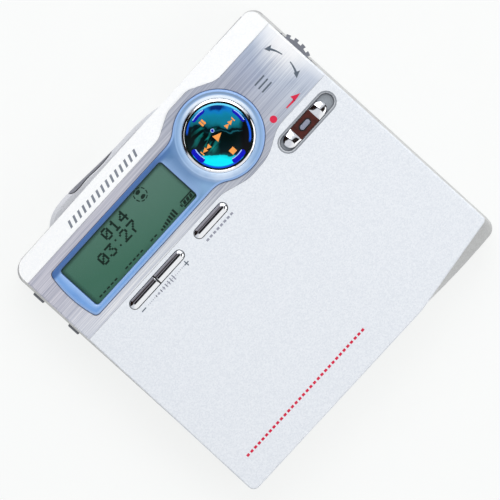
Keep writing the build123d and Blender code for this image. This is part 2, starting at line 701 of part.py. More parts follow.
def battery_contacts():
    """Two leaf springs at the cell's right-hand end."""
    end = BATTERY_X + BATTERY_LENGTH / 2
    leaves = []
    for y in (BATTERY_Y - 4.5, BATTERY_Y + 4.5):
        leaf = block((end + 1.0, end + 1.3), around(y, 4.0), (FLOOR, BATTERY_TOP - 0.5))
        bow = bar_y(end + 1.05, around(y, 3.0), (BATTERY_TOP + FLOOR) / 2, 1.0)
        leaves.append(leaf + bow)
    return Compound(children=leaves)


def battery_door():
    """The cap over the battery's end, swinging on a pin at its far end."""
    near, far = door_span()
    low, high = door_heights()
    wall = (-HALF_WIDTH - 1, -HALF_WIDTH + DOOR_WALL)
    plate = case_outside() & block(wall, (near, door_axis_y()), (low, high))
    hub = post(door_axis_x(), door_axis_y(), (low + CASE_EDGE_RADIUS / 2, high), DOOR_WALL / 2 - 0.02)
    return plate + hub - post(door_axis_x(), door_axis_y(), (0, BELT_TOP), DOOR_PIN_RADIUS + RUNNING_GAP)


def battery_door_pin():
    """The battery door's pin, held in the case above it."""
    low, high = door_heights()
    return post(door_axis_x(), door_axis_y(), (low + CASE_EDGE_RADIUS / 2, high + 0.7), DOOR_PIN_RADIUS)


def jack_collar():
    """The outer radius of a plug socket's round collar."""
    return PLUG_BORE_RADIUS + 0.6


def power_collar():
    """The outer radius of the power socket's collar."""
    return POWER_BORE_RADIUS + 0.4


def plug_jack(x, mouth):
    """A plug socket behind the rear wall, its bore open at the mouth."""
    wall = HALF_DEPTH - CASE_WALL - RUNNING_GAP
    body = block(around(x, JACK_BLOCK), (wall - JACK_DEPTH, wall), around(JACK_Z, JACK_HEIGHT))
    collar = bar_y(x, (wall - 1.0, mouth), JACK_Z, jack_collar())
    return body + collar - bar_y(x, (mouth - JACK_DEPTH, mouth + 1), JACK_Z, PLUG_BORE_RADIUS)


def power_jack():
    """The power socket in the left side, with its centre pin."""
    wall = -HALF_WIDTH + CASE_WALL + RUNNING_GAP
    length = (wall, wall + POWER_JACK_LENGTH)
    body = block(length, around(POWER_JACK_Y, POWER_JACK_WIDTH), around(JACK_Z, JACK_HEIGHT))
    collar = bar_x((-HALF_WIDTH, wall + 1.0), POWER_JACK_Y, JACK_Z, power_collar())
    depth = (-HALF_WIDTH - 1, wall + POWER_JACK_LENGTH - 1.5)
    bore = bar_x(depth, POWER_JACK_Y, JACK_Z, POWER_BORE_RADIUS)
    pin = bar_x((-HALF_WIDTH + 0.8, depth[1] + 0.5), POWER_JACK_Y, JACK_Z, POWER_PIN_RADIUS)
    return body + collar - bore + pin


# --------------------------------------------------------------- edge controls
def side_button(y):
    """A small convex button in the left side, flanged behind the belt."""
    face_x = -HALF_WIDTH - SIDE_BUTTON_PROUD
    inner = -HALF_WIDTH + CASE_WALL + RUNNING_GAP
    height = around(BELT_MIDDLE, SIDE_BUTTON_HEIGHT)
    stem = block((face_x, inner + 0.1), around(y, SIDE_BUTTON_LENGTH), height)
    stem = fillet(stem.faces().sort_by(Axis.X)[0].edges(), 0.3)
    height = around(BELT_MIDDLE, SIDE_BUTTON_HEIGHT + 0.6)
    return stem + block((inner, inner + 0.3), around(y, SIDE_BUTTON_LENGTH + 1), height)


def side_switches():
    """The two small switches behind the side buttons."""
    inner = -HALF_WIDTH + CASE_WALL + RUNNING_GAP + 0.3 + SIDE_BUTTON_TRAVEL + RUNNING_GAP
    cells = []
    for y in SIDE_BUTTON_YS:
        cells.append(block((inner, -HOLDER_HALF_OUTER - 0.25), around(y, 3.2), around(BELT_MIDDLE, 1.6)))
    return Compound(children=cells)


def open_slider():
    """The lid release: a ribbed thumb piece on a plate behind the belt."""
    inner = HALF_WIDTH - CASE_WALL - RUNNING_GAP
    thumb = block((inner - 0.1, HALF_WIDTH - SEAT_GAP), around(OPEN_SLIDER_Y, OPEN_SLIDER_LENGTH),
                  around(BELT_MIDDLE, SLIDER_HEIGHT))
    for step in range(-2, 3):
        groove = block((HALF_WIDTH - 0.35, HALF_WIDTH), around(OPEN_SLIDER_Y + step * 0.9, 0.4),
                       around(BELT_MIDDLE, SLIDER_HEIGHT + 1))
        thumb -= groove
    length = OPEN_SLIDER_LENGTH + 2 * OPEN_SLIDER_TRAVEL + 1
    height = around(BELT_MIDDLE, SLIDER_HEIGHT + 0.6)
    return thumb + block((inner - 0.3, inner), around(OPEN_SLIDER_Y, length), height)


def latch_hook():
    """The sheet hook that the release carries, up beside the lid's catch."""
    outer = HALF_WIDTH - CASE_WALL - RUNNING_GAP - 0.3
    sheet = (outer - 0.3, outer)
    stem = block(sheet, around(OPEN_SLIDER_Y, 3.0), (BELT_MIDDLE - 0.8, LID_BOTTOM + 1.6))
    nose = block((outer - 0.6, outer), around(OPEN_SLIDER_Y, 3.0), (LID_BOTTOM + 1.2, LID_BOTTOM + 1.6))
    return stem + nose


def hold_knob():
    """The key lock's thumb piece in the near side, on its plate."""
    inner = -HALF_DEPTH + CASE_WALL + RUNNING_GAP
    thumb = block(around(HOLD_X, HOLD_LENGTH), (-HALF_DEPTH + SEAT_GAP, inner + 0.1),
                  around(BELT_MIDDLE, SLIDER_HEIGHT))
    for step in range(-2, 3):
        groove = block(around(HOLD_X + step * 0.7, 0.3), (-HALF_DEPTH, -HALF_DEPTH + 0.35),
                       around(BELT_MIDDLE, SLIDER_HEIGHT + 1))
        thumb -= groove
    length = HOLD_LENGTH + 2 * HOLD_TRAVEL + 1
    height = around(BELT_MIDDLE, SLIDER_HEIGHT + 0.6)
    return thumb + block(around(HOLD_X, length), (inner, inner + 0.2), height)


# ------------------------------------------------------------ the disc's holder
def disc_holder():
    """The sheet tray that takes the cartridge and lifts with the lid."""
    near = DISC_NEAR_Y + 1.0
    far = DISC_FAR_Y - 0.2
    half = HOLDER_HALF_OUTER
    corners = [(-half, near), (half, near), (half, far), (-half, far)]
    outline = plan(corners, [0, 0, 0, 0], [1.5, 2.5, 0.6, 0.6])
    roof = slab(outline, (HOLDER_ROOF, HOLDER_TOP))
    roof -= slab(rounded((8, HALF_WIDTH - 6.45), around(DISC_CENTRE_Y, 15.0), 1.5), (0, SKIN_TOP))
    roof -= slab(rounded((8.45 - HALF_WIDTH, -13), around(DISC_CENTRE_Y, 24.0), 2.5), (0, SKIN_TOP))
    roof -= post(0, DISC_CENTRE_Y, (0, SKIN_TOP), TURNTABLE_RADIUS)
    holder = roof
    for sign in (-1, 1):
        wall = tuple(sorted((sign * HOLDER_HALF_INNER, sign * HOLDER_HALF_OUTER)))
        shelf = tuple(sorted((sign * (HOLDER_HALF_INNER - 2.4), sign * HOLDER_HALF_OUTER)))
        holder += block(wall, (near + 2.5, far), (HOLDER_BOTTOM, HOLDER_TOP))
        holder += block(shelf, (near + 2.5, far - 2.0), (HOLDER_BOTTOM, HOLDER_BOTTOM + HOLDER_SHEET))
        holder += block(wall, (far - 1.0, HINGE_Y), (HINGE_Z - EAR_RADIUS * 0.8, HOLDER_TOP))
        holder += bar_x(wall, HINGE_Y, HINGE_Z, EAR_RADIUS)
    return holder - bar_x((-REACH, REACH), HINGE_Y, HINGE_Z, HINGE_PIN_RADIUS + RUNNING_GAP)


# ---------------------------------------------------------------------- the lid
def wheel_room():
    """The space in the lid that the thumb wheel turns and pushes in."""
    low = WHEEL_X - WHEEL_RADIUS - WHEEL_PUSH - 0.4
    return block((low, REACH), around(WHEEL_Y, 2 * WHEEL_RADIUS + 1.0), (LINER_BOTTOM - 1, SKIN_BOTTOM))


def lid_frame():
    """The lid's grey sloping sides, its ledge, and the lid's hinge knuckles."""
    outer = loft([Pos(0, 0, LID_BOTTOM) * body_plan(), Pos(0, 0, CROWN_BOTTOM) * lid_plan()], ruled=True)
    low, high = Pos(0, 0, LID_BOTTOM - 0.01), Pos(0, 0, CROWN_BOTTOM + 0.01)
    frame = outer - loft([low * body_plan(LID_WALL), high * lid_plan(LID_WALL)], ruled=True)
    ledge = slab(body_plan(), (LINER_TOP, LINER_TOP + LEDGE_HEIGHT))
    ledge -= slab(lid_plan(LID_WALL + LEDGE), (0, SKIN_TOP))
    frame += ledge & outer
    clear = HINGE_RADIUS + HINGE_SWEEP
    rear = HINGE_Y - clear
    whole = (-HINGE_HALF_LENGTH, HINGE_HALF_LENGTH)
    frame += block(whole, (rear, HALF_DEPTH - 0.1), (HINGE_Z + clear, CROWN_BOTTOM))
    frame -= block((-REACH, REACH), (rear, REACH), (0, HINGE_Z))
    pin_room = HINGE_PIN_HALF_LENGTH + 0.1
    frame -= block((-pin_room, pin_room), (rear, REACH), (0, HINGE_Z + clear))
    for span in knuckle_spans(True):
        frame += bar_x(span, HINGE_Y, HINGE_Z, HINGE_RADIUS)
        frame += block(span, around(HINGE_Y, 1.8 * HINGE_RADIUS), (HINGE_Z, HINGE_Z + clear + 0.2))
    frame -= bar_x((-REACH, REACH), HINGE_Y, HINGE_Z, HINGE_PIN_RADIUS + RUNNING_GAP)
    catch_x = (HALF_WIDTH - LID_WALL - 1.2, HALF_WIDTH - LID_WALL / 2 - 0.1)
    frame += block(catch_x, around(OPEN_SLIDER_Y - 3.6, 1.6), (LID_BOTTOM + 0.1, LID_BOTTOM + 0.9))
    return frame - wheel_slot()


def wheel_slot():
    """The window in the lid's right side that the wheel stands out of."""
    chord = math.sqrt(WHEEL_RADIUS**2 - (WHEEL_RADIUS - WHEEL_PROUD - 1.7) ** 2)
    slot = block((WHEEL_X, REACH), around(WHEEL_Y, 2 * chord), (LINER_BOTTOM - 0.1, SKIN_BOTTOM))
    return slot + (wheel_room() & block((0, HALF_WIDTH - LID_WALL - 1), (0, REACH), (0, REACH)))


def crown():
    """The lid's whole top with its rolled edge, before it is split and hollowed."""
    solid = slab(lid_plan(), (CROWN_BOTTOM, SKIN_TOP))
    return fillet(solid.faces().sort_by(Axis.Z)[-1].edges(), LID_EDGE_RADIUS)


def under_skin():
    """The hollow under the lid's top, inside its rim."""
    return slab(lid_plan(LID_RIM_WALL), (0, SKIN_BOTTOM))


def tall(face):
    """A face raised through the whole lid, to cut with."""
    return slab(face, (0, SKIN_TOP + 2))


def lid_plate():
    """The painted plate that covers the near part of the lid."""
    plate = (crown() - under_skin()) & tall(zone(NEAR_LINE, NEAR_LINE_RADII, -PANEL_JOINT / 2, -REACH))
    gap = 2 * SEAT_GAP
    plate -= tall(stadium(VOLUME_X, KEY_ROW_Y, VOLUME_LENGTH + gap, SLIM_KEY_WIDTH + gap))
    plate -= tall(stadium(GROUP_X, KEY_ROW_Y, GROUP_LENGTH + gap, SLIM_KEY_WIDTH + gap))
    return plate - tall(stadium(RECORD_X, RECORD_Y, RECORD_SLOT_LENGTH, RECORD_SLOT_WIDTH))


def brushed_panel():
    """The brushed band round the display and the control key."""
    band = zone(NEAR_LINE, NEAR_LINE_RADII, PANEL_JOINT / 2, REACH)
    band -= zone(FAR_LINE, FAR_LINE_RADII, -PANEL_JOINT / 2, REACH)
    return ((crown() - under_skin()) & tall(band - display_outline(PANEL_JOINT))) - wheel_slot()


def rear_strip():
    """The smooth strip along the hinge edge, falling gently away."""
    strip = crown() & tall(zone(FAR_LINE, FAR_LINE_RADII, PANEL_JOINT / 2, REACH))
    seam = KEY_Y + FAR_LINE[0][1]
    angle = math.degrees(math.atan2(STRIP_FALL, HALF_DEPTH - seam))
    turn = Pos(0, seam, SKIN_TOP - STACK_GAP) * Rot(-angle, 0, 0)
    return strip - turn * block((-REACH, REACH), (-REACH, REACH), (0, REACH))


def display_outline(grow):
    """The bezel's outline: a bow-ended bar that swells round the control key."""
    x_span = (DISPLAY_X[0] - grow, DISPLAY_X[1])
    y_span = (DISPLAY_Y[0] - grow, DISPLAY_Y[1] + grow)
    corners = [(x, y) for x, y in zip(x_span + x_span[::-1], (y_span[0],) * 2 + (y_span[1],) * 2)]
    bar = plan(corners, [0, 0, 0, DISPLAY_END_BOW], [DISPLAY_CORNER, 0.1, 0.1, DISPLAY_CORNER])
    outline = Sketch() + bar + Pos(KEY_X, KEY_Y) * Circle(KEY_BEZEL_RADIUS + grow)
    necks = []
    for y in y_span:
        x = KEY_X - math.sqrt((KEY_BEZEL_RADIUS + grow) ** 2 - (y - KEY_Y) ** 2)
        necks.append(outline.vertices().sort_by_distance(Vector(x, y))[0])
    return fillet(necks, DISPLAY_NECK_RADIUS)


def display_bezel():
    """The blue frame round the window and the control key, bevelled both ways."""
    top = SKIN_TOP + DISPLAY_RISE
    body = slab(display_outline(0), (BOARD_TOP, top))
    outer = body.faces().sort_by(Axis.Z)[-1].edges()
    body = chamfer(outer, 0.45)
    window = rounded(WINDOW_X, WINDOW_Y, WINDOW_CORNER)
    body -= tall(window)
    body -= tall(Pos(KEY_X, KEY_Y) * Circle(KEY_RING_OUTER + RUNNING_GAP))
    body -= slab(lcd_face(SEAT_GAP), (0, BOARD_TOP + LCD_THICKNESS + SEAT_GAP))
    return body


def lcd_face(grow):
    """The display cell's outline, a little larger than its window."""
    x_span = (WINDOW_X[0] - LCD_MARGIN - grow, WINDOW_X[1] + LCD_MARGIN + grow)
    y_span = (WINDOW_Y[0] - LCD_MARGIN / 2 - grow, WINDOW_Y[1] + LCD_MARGIN / 2 + grow)
    return rounded(x_span, y_span, 0.3)


def lcd_panel():
    """The display cell on the lid's board."""
    return slab(lcd_face(0), (BOARD_TOP, BOARD_TOP + LCD_THICKNESS))


def display_window():
    """The clear window over the display, just under the bezel's crest."""
    x_span = (WINDOW_X[0] + RUNNING_GAP, WINDOW_X[1] - RUNNING_GAP)
    y_span = (WINDOW_Y[0] + RUNNING_GAP, WINDOW_Y[1] - RUNNING_GAP)
    face = rounded(x_span, y_span, WINDOW_CORNER - RUNNING_GAP)
    low = BOARD_TOP + LCD_THICKNESS + RUNNING_GAP
    return slab(face, (low, low + WINDOW_THICKNESS))


def lid_board():
    """The lid's circuit board, under the display and the row of keys."""
    left = -(HALF_WIDTH - max(LID_FAR_DRAFTS) - LID_WALL - LEDGE - 0.1)
    split = WHEEL_X - WHEEL_RADIUS - WHEEL_PUSH - 0.6
    near = KEY_ROW_Y - 3.7
    board = block((left, split), (near, DISPLAY_Y[1] + 1.5), (BOARD_BOTTOM, BOARD_TOP))
    board += block((split - 1, -left), (near, WHEEL_Y - WHEEL_RADIUS - 1.0), (BOARD_BOTTOM, BOARD_TOP))
    return board


def lid_liner():
    """The thin sheet that closes the lid from below."""
    face = lid_plan(LID_WALL + 0.5)
    liner = slab(face, (LINER_BOTTOM, LINER_TOP))
    rear = HINGE_Y - HINGE_RADIUS - HINGE_SWEEP
    liner -= block((-REACH, REACH), (rear - 0.1, REACH), (0, SKIN_TOP))
    return liner - wheel_room()


def key_ring():
    """The bright ring round the control key."""
    height = (BOARD_TOP + 0.8, SKIN_TOP + DISPLAY_RISE + RUNNING_GAP)
    ring = slab(Pos(KEY_X, KEY_Y) * Circle(KEY_RING_OUTER), height)
    ring -= tall(Pos(KEY_X, KEY_Y) * Circle(KEY_RING_INNER))
    return chamfer(ring.faces().sort_by(Axis.Z)[-1].edges(), 0.2)


def dome_switches():
    """The snap switches on the lid's board, under the keys."""
    top = BOARD_TOP + SWITCH_HEIGHT
    row = (VOLUME_X - VOLUME_LENGTH / 4, VOLUME_X + VOLUME_LENGTH / 4, GROUP_X)
    places = [(KEY_X, KEY_Y)] + [(x, KEY_ROW_Y) for x in row]
    for step in range(4):
        spot = Pos(KEY_X, KEY_Y) * Rot(0, 0, 90 * step) * Pos(SWITCH_RING_RADIUS, 0)
        places.append((spot.position.X, spot.position.Y))
    return Compound(children=[post(x, y, (BOARD_TOP, top), 1.0) for x, y in places])


def key_plunger():
    """The control key's centre stem, which presses its middle switch."""
    low = BOARD_TOP + SWITCH_HEIGHT + 0.35
    stem = post(KEY_X, KEY_Y, (low, key_bottom() - SEAT_GAP), KEY_STEM_RADIUS)
    foot = post(KEY_X, KEY_Y, (low, low + 0.2), KEY_STEM_RADIUS + SEAT_GAP)
    return stem + foot


def key_bottom():
    """The underside of the control key."""
    return SKIN_TOP + KEY_CROWN - KEY_DOME - KEY_RIM


def key_rocker():
    """The gimbal ring round the stem that lets the key tilt both ways."""
    top = key_bottom() - STACK_GAP
    ring = post(KEY_X, KEY_Y, (top - 0.2, top), KEY_STEM_RADIUS + 1.4)
    return ring - post(KEY_X, KEY_Y, (0, SKIN_TOP), KEY_STEM_RADIUS + LOOSE_GAP)


def control_key():
    """The round control key, its top a shallow dome."""
    rim_top = SKIN_TOP + KEY_CROWN - KEY_DOME
    body = post(KEY_X, KEY_Y, (key_bottom(), rim_top), KEY_RADIUS)
    sphere_radius = (KEY_RADIUS**2 + KEY_DOME**2) / (2 * KEY_DOME)
    ball = Pos(KEY_X, KEY_Y, rim_top + KEY_DOME - sphere_radius) * Sphere(sphere_radius)
    tower = post(KEY_X, KEY_Y, (rim_top - 0.1, rim_top + 1), KEY_RADIUS)
    return body + (ball & tower)


def slim_key(x_span):
    """Half or all of a slim stadium key, crowned, with its flange under the skin."""
    middle, length = (VOLUME_X, VOLUME_LENGTH) if x_span else (GROUP_X, GROUP_LENGTH)
    top = SKIN_TOP + SLIM_KEY_RISE
    flange_low = SKIN_BOTTOM - SEAT_GAP - KEY_FLANGE_HEIGHT
    key = slab(stadium(middle, KEY_ROW_Y, length, SLIM_KEY_WIDTH), (flange_low, top))
    key = fillet(key.faces().sort_by(Axis.Z)[-1].edges(), SLIM_KEY_RISE * 0.9)
    wide = stadium(middle, KEY_ROW_Y, length + 2 * KEY_FLANGE, SLIM_KEY_WIDTH + 2 * KEY_FLANGE)
    key += slab(wide, (flange_low, flange_low + KEY_FLANGE_HEIGHT))
    return key & block(x_span, (-REACH, REACH), (0, REACH)) if x_span else key


def record_tray():
    """The recess that the record slider runs in."""
    outer = stadium(RECORD_X, RECORD_Y, RECORD_SLOT_LENGTH - 0.02, RECORD_SLOT_WIDTH - 0.02)
    wall = 2 * RECORD_TRAY_WALL
    inner = stadium(RECORD_X, RECORD_Y, RECORD_SLOT_LENGTH - wall, RECORD_SLOT_WIDTH - wall)
    cup = slab(outer, (RECORD_LOW, SKIN_TOP - RUNNING_GAP))
    return cup - slab(inner, (RECORD_LOW + RECORD_TRAY_FLOOR, SKIN_TOP + 1))


def record_knob():
    """The record slider: bright ends that scoop down, and a raised nub."""
    x = RECORD_X + RECORD_KNOB_OFFSET
    low = RECORD_LOW + RECORD_TRAY_FLOOR + RUNNING_GAP
    top = SKIN_TOP + RECORD_KNOB_RISE
    knob = slab(stadium(x, RECORD_Y, RECORD_KNOB_LENGTH, RECORD_KNOB_WIDTH), (low, top))
    knob = chamfer(knob.faces().sort_by(Axis.Z)[-1].edges(), 0.3)
    for sign in (-1, 1):
        scoop = bar_y(x + sign * RECORD_KNOB_LENGTH * 0.27, (-REACH, REACH), top + 2.6, 3.2)
        knob -= scoop
    return knob


def thumb_wheel():
    """The toothed wheel in the lid's right side."""
    wheel = post(WHEEL_X, WHEEL_Y, (WHEEL_BOTTOM, WHEEL_TOP), WHEEL_RADIUS)
    wheel -= post(WHEEL_X, WHEEL_Y, (0, SKIN_TOP), WHEEL_PIN_RADIUS + RUNNING_GAP)
    for step in range(WHEEL_TEETH):
        turn = Pos(WHEEL_X, WHEEL_Y) * Rot(0, 0, 360 / WHEEL_TEETH * step) * Pos(WHEEL_RADIUS, 0)
        wheel -= turn * block(around(0, 2 * WHEEL_TOOTH_DEPTH), around(0, WHEEL_TOOTH_GAP), (0, SKIN_TOP))
    return wheel


def wheel_carriage():
    """The sliding plate that the wheel turns on, so that it can be pushed in."""
    low, high = LINER_BOTTOM, WHEEL_BOTTOM - RUNNING_GAP
    reach = (WHEEL_X - WHEEL_RADIUS + 1.0, HOLDER_HALF_INNER - LOOSE_GAP)
    plate = block(reach, around(WHEEL_Y, WHEEL_RADIUS + 1), (low, high))
    pin = post(WHEEL_X, WHEEL_Y, (low, WHEEL_TOP), WHEEL_PIN_RADIUS)
    return plate + pin


def volume_key(up):
    """One of the two volume keys that share a slot."""
    gap = VOLUME_SPLIT / 2
    return slim_key((VOLUME_X + gap, REACH) if up else (-REACH, VOLUME_X - gap))


# ---------------------------------------------------------------------- write out
PIECES = {
    "bottom_case": bottom_case,
    "side_frame": side_frame,
    "case_screws": case_screws,
    "rear_bulge": rear_bulge,
    "jack_cover": jack_cover,
    "hinge_bracket": hinge_bracket,
    "hinge_pin": hinge_pin,
    "chassis_plate": chassis_plate,
    "guide_rods": guide_rods,
    "spindle_motor": spindle_motor,
    "turntable": turntable,
    "pickup_sled": pickup_sled,
    "pickup_lens": pickup_lens,
    "sled_motor": sled_motor,
    "lead_screw": lead_screw,
    "shock_mounts": shock_mounts,
    "chassis_screws": chassis_screws,
    "main_board": main_board,
    "board_chips": board_chips,
    "battery": battery,
    "battery_contacts": battery_contacts,
    "battery_door": battery_door,
    "battery_door_pin": battery_door_pin,
    "headphone_jack": lambda: plug_jack(JACK_XS[0], HALF_DEPTH + JACK_PROUD),
    "line_jack": lambda: plug_jack(JACK_XS[1], HALF_DEPTH),
    "microphone_jack": lambda: plug_jack(JACK_XS[2], HALF_DEPTH),
    "power_jack": power_jack,
    "far_side_button": lambda: side_button(SIDE_BUTTON_YS[0]),
    "near_side_button": lambda: side_button(SIDE_BUTTON_YS[1]),
    "side_switches": side_switches,
    "open_slider": open_slider,
    "latch_hook": latch_hook,
    "hold_knob": hold_knob,
    "disc_holder": disc_holder,
    "lid_frame": lid_frame,
    "lid_plate": lid_plate,
    "brushed_panel": brushed_panel,
    "rear_strip": rear_strip,
    "display_bezel": display_bezel,
    "display_window": display_window,
    "lcd_panel": lcd_panel,
    "lid_board": lid_board,
    "lid_liner": lid_liner,
    "key_ring": key_ring,
    "dome_switches": dome_switches,
    "key_plunger": key_plunger,
    "key_rocker": key_rocker,
    "control_key": control_key,
    "volume_down_key": lambda: volume_key(False),
    "volume_up_key": lambda: volume_key(True),
    "group_key": lambda: slim_key(None),
    "record_tray": record_tray,
    "record_knob": record_knob,
    "thumb_wheel": thumb_wheel,
    "wheel_carriage": wheel_carriage,
}

for name, make in PIECES.items():
    export_step(make(), f"parts/{name}.step")
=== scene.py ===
import logging
import math
from collections import Counter
from dataclasses import dataclass, field
from enum import Enum
from typing import Callable, Iterable, Mapping, Optional, Sequence, Union

import bmesh
import bpy
from mathutils import Matrix, Vector


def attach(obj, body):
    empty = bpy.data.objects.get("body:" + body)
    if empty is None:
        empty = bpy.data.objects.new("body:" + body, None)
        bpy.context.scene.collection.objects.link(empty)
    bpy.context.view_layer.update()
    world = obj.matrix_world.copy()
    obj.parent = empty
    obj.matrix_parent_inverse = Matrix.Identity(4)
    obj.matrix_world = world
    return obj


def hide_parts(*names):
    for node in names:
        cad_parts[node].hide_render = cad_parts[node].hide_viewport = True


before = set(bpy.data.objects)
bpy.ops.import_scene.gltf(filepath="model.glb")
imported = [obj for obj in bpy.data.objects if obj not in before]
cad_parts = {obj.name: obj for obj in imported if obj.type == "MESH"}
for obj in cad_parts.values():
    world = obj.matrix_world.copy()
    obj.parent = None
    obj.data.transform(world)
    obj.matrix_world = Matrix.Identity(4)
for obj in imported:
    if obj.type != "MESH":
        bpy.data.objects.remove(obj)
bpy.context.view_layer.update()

# A pocket disc recorder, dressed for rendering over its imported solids. Places
# and sizes are in millimetres in the recorder's own frame: +X is the reader's
# right, +Y the hinge edge, +Z up. One function turns them to metres.

MM = 0.001
log = logging.getLogger("recorder")

Point = tuple[float, float]
Outline = Sequence[Point]
Heights = Callable[[float, float], float]
Tree = bpy.types.NodeTree
Socket = bpy.types.NodeSocket
Piece = bpy.types.Object


def metres(*values: float) -> tuple[float, ...]:
    """Millimetres turned to metres."""
    return tuple(value * MM for value in values)


def linear(code: str) -> tuple[float, float, float, float]:
    """Turn an sRGB hex colour into linear light.

    Args:
        code: The colour as "#RRGGBB".

    Returns:
        Red, green and blue in linear light, and a full alpha.
    """
    channels = [int(code[at : at + 2], 16) / 255 for at in (1, 3, 5)]
    light = [c / 12.92 if c <= 0.04045 else ((c + 0.055) / 1.055) ** 2.4 for c in channels]
    return (light[0], light[1], light[2], 1.0)


def add(
    tree: Tree, kind: str, inputs: Optional[Mapping[Union[str, int], object]] = None, **settings: object
) -> bpy.types.Node:
    """Add one node to a tree, with its settings and its links.

    Args:
        tree: A material's, the world's or a geometry tree.
        kind: The node's type name.
        inputs: Each input by name or number, with a value or the socket that feeds it.
        **settings: The node's own properties. "stops" fills its colour ramp.

    Returns:
        The new node.
    """
    node = tree.nodes.new(kind)
    for name, value in settings.items():
        if name == "stops":
            ramp = node.color_ramp
            while len(ramp.elements) < len(value):
                ramp.elements.new(1.0)
            for element, (place, colour) in zip(ramp.elements, value):
                element.position, element.color = place, linear(colour)
        else:
            setattr(node, name, value)
    for key, value in (inputs or {}).items():
        if isinstance(value, bpy.types.NodeSocket):
            tree.links.new(value, node.inputs[key])
        else:
            node.inputs[key].default_value = value
    return node


# ------------------------------------------------------------------ finishes
@dataclass(frozen=True)
class Finish:
    """A surface as a maker would order it: a colour, a gloss and a pattern of a real size.

    A plain Finish is moulded or painted: fine grains shade the colour and
    roughen the surface a little.
    """

    name: str
    colour: str
    shade: str
    roughness: float
    grain_mm: float = 0.25
    relief_mm: float = 0.004
    metallic: float = 0.0
    coat: float = 0.0
    specular: float = 0.5

    def dress(self) -> bpy.types.Material:
        """Build the material, or give the one already built under this name."""
        made = bpy.data.materials.get(self.name)
        if made:
            return made
        material = bpy.data.materials.new(self.name)
        material.use_nodes = True
        tree = material.node_tree
        tree.nodes.clear()
        shader = add(tree, "ShaderNodeBsdfPrincipled", {
            "Base Color": linear(self.colour), "Metallic": self.metallic, "Roughness": self.roughness,
            "Coat Weight": self.coat, "Coat Roughness": 0.08, "Specular IOR Level": self.specular,
        })
        add(tree, "ShaderNodeOutputMaterial", {"Surface": shader.outputs["BSDF"]})
        self.pattern(tree, shader, add(tree, "ShaderNodeTexCoord").outputs["Object"])
        return material

    def noise(self, tree: Tree, place: Socket, size_mm: Sequence[float], detail: float = 2.0) -> Socket:
        """Noise whose grains have a real size.

        Args:
            tree: The material's tree.
            place: The place on the piece.
            size_mm: The grain's length along X, Y and Z.
            detail: How many finer layers the noise has.

        Returns:
            The noise, from 0 to 1.
        """
        scale = tuple(1 / (size * MM) for size in size_mm)
        spot = add(tree, "ShaderNodeMapping", {"Vector": place, "Scale": scale})
        noise = add(tree, "ShaderNodeTexNoise", {"Vector": spot.outputs[0], "Scale": 1.0, "Detail": detail})
        return noise.outputs["Fac"]

    def spread(self, tree: Tree, value: Socket, low: float, high: float, edges: Point = (0.3, 0.7)) -> Socket:
        """Bring a noise between two values.

        Args:
            tree: The material's tree.
            value: The noise.
            low: What its lower edge becomes.
            high: What its upper edge becomes.
            edges: The part of the noise that is spread out.

        Returns:
            The spread value.
        """
        keys = {"Value": value, "From Min": edges[0], "From Max": edges[1], "To Min": low, "To Max": high}
        return add(tree, "ShaderNodeMapRange", keys).outputs["Result"]

    def tint(self, tree: Tree, shader: bpy.types.Node, factor: Socket, one: object, other: object) -> Socket:
        """Colour the surface between two colours.

        Args:
            tree: The material's tree.
            shader: The material's shader.
            factor: Where the second colour shows.
            one: The first colour, or the socket that gives it.
            other: The second colour, or the socket that gives it.

        Returns:
            The mixed colour, already linked to the shader.
        """
        mixed = add(tree, "ShaderNodeMix", {0: factor, 6: one, 7: other}, data_type="RGBA").outputs[2]
        tree.links.new(mixed, shader.inputs["Base Color"])
        return mixed

    def relief(self, tree: Tree, shader: bpy.types.Node, height: Socket, depth_mm: float) -> None:
        """Raise a fine relief of a real depth."""
        bump = add(tree, "ShaderNodeBump", {"Height": height, "Strength": 1.0, "Distance": depth_mm * MM})
        tree.links.new(bump.outputs["Normal"], shader.inputs["Normal"])

    def pattern(self, tree: Tree, shader: bpy.types.Node, place: Socket) -> None:
        """Shade and roughen the surface with its grains."""
        grain = self.noise(tree, place, [self.grain_mm] * 3, 3.0)
        cloud = self.noise(tree, place, [9.0] * 3)
        both = add(tree, "ShaderNodeMath", {0: grain, 1: cloud}, operation="ADD").outputs[0]
        factor = self.spread(tree, both, 0.0, 1.0, (0.7, 1.3))
        self.tint(tree, shader, factor, linear(self.colour), linear(self.shade))
        rough = self.spread(tree, grain, self.roughness * 0.85, self.roughness * 1.15)
        tree.links.new(rough, shader.inputs["Roughness"])
        self.relief(tree, shader, grain, self.relief_mm)


@dataclass(frozen=True)
class PearlLacquer(Finish):
    """Spray lacquer with mica flakes: every flake catches a slightly different light."""

    flake_mm: float = 0.26

    def pattern(self, tree: Tree, shader: bpy.types.Node, place: Socket) -> None:
        """Scatter the flakes and give the lacquer its soft orange peel."""
        scale = [1 / (self.flake_mm * MM)] * 3
        spot = add(tree, "ShaderNodeMapping", {"Vector": place, "Scale": scale}).outputs[0]
        cell = add(tree, "ShaderNodeTexVoronoi", {"Vector": spot, "Scale": 1.0}).outputs["Color"]
        flake = add(tree, "ShaderNodeSeparateColor", {"Color": cell}).outputs["Red"]
        factor = self.spread(tree, flake, 0.0, 1.0, (0.0, 1.0))
        self.tint(tree, shader, factor, linear(self.colour), linear(self.shade))
        rough = self.spread(tree, flake, self.roughness * 0.8, self.roughness * 1.2, (0.0, 1.0))
        tree.links.new(rough, shader.inputs["Roughness"])
        self.relief(tree, shader, self.noise(tree, place, [1.2] * 3, 3.0), self.relief_mm)


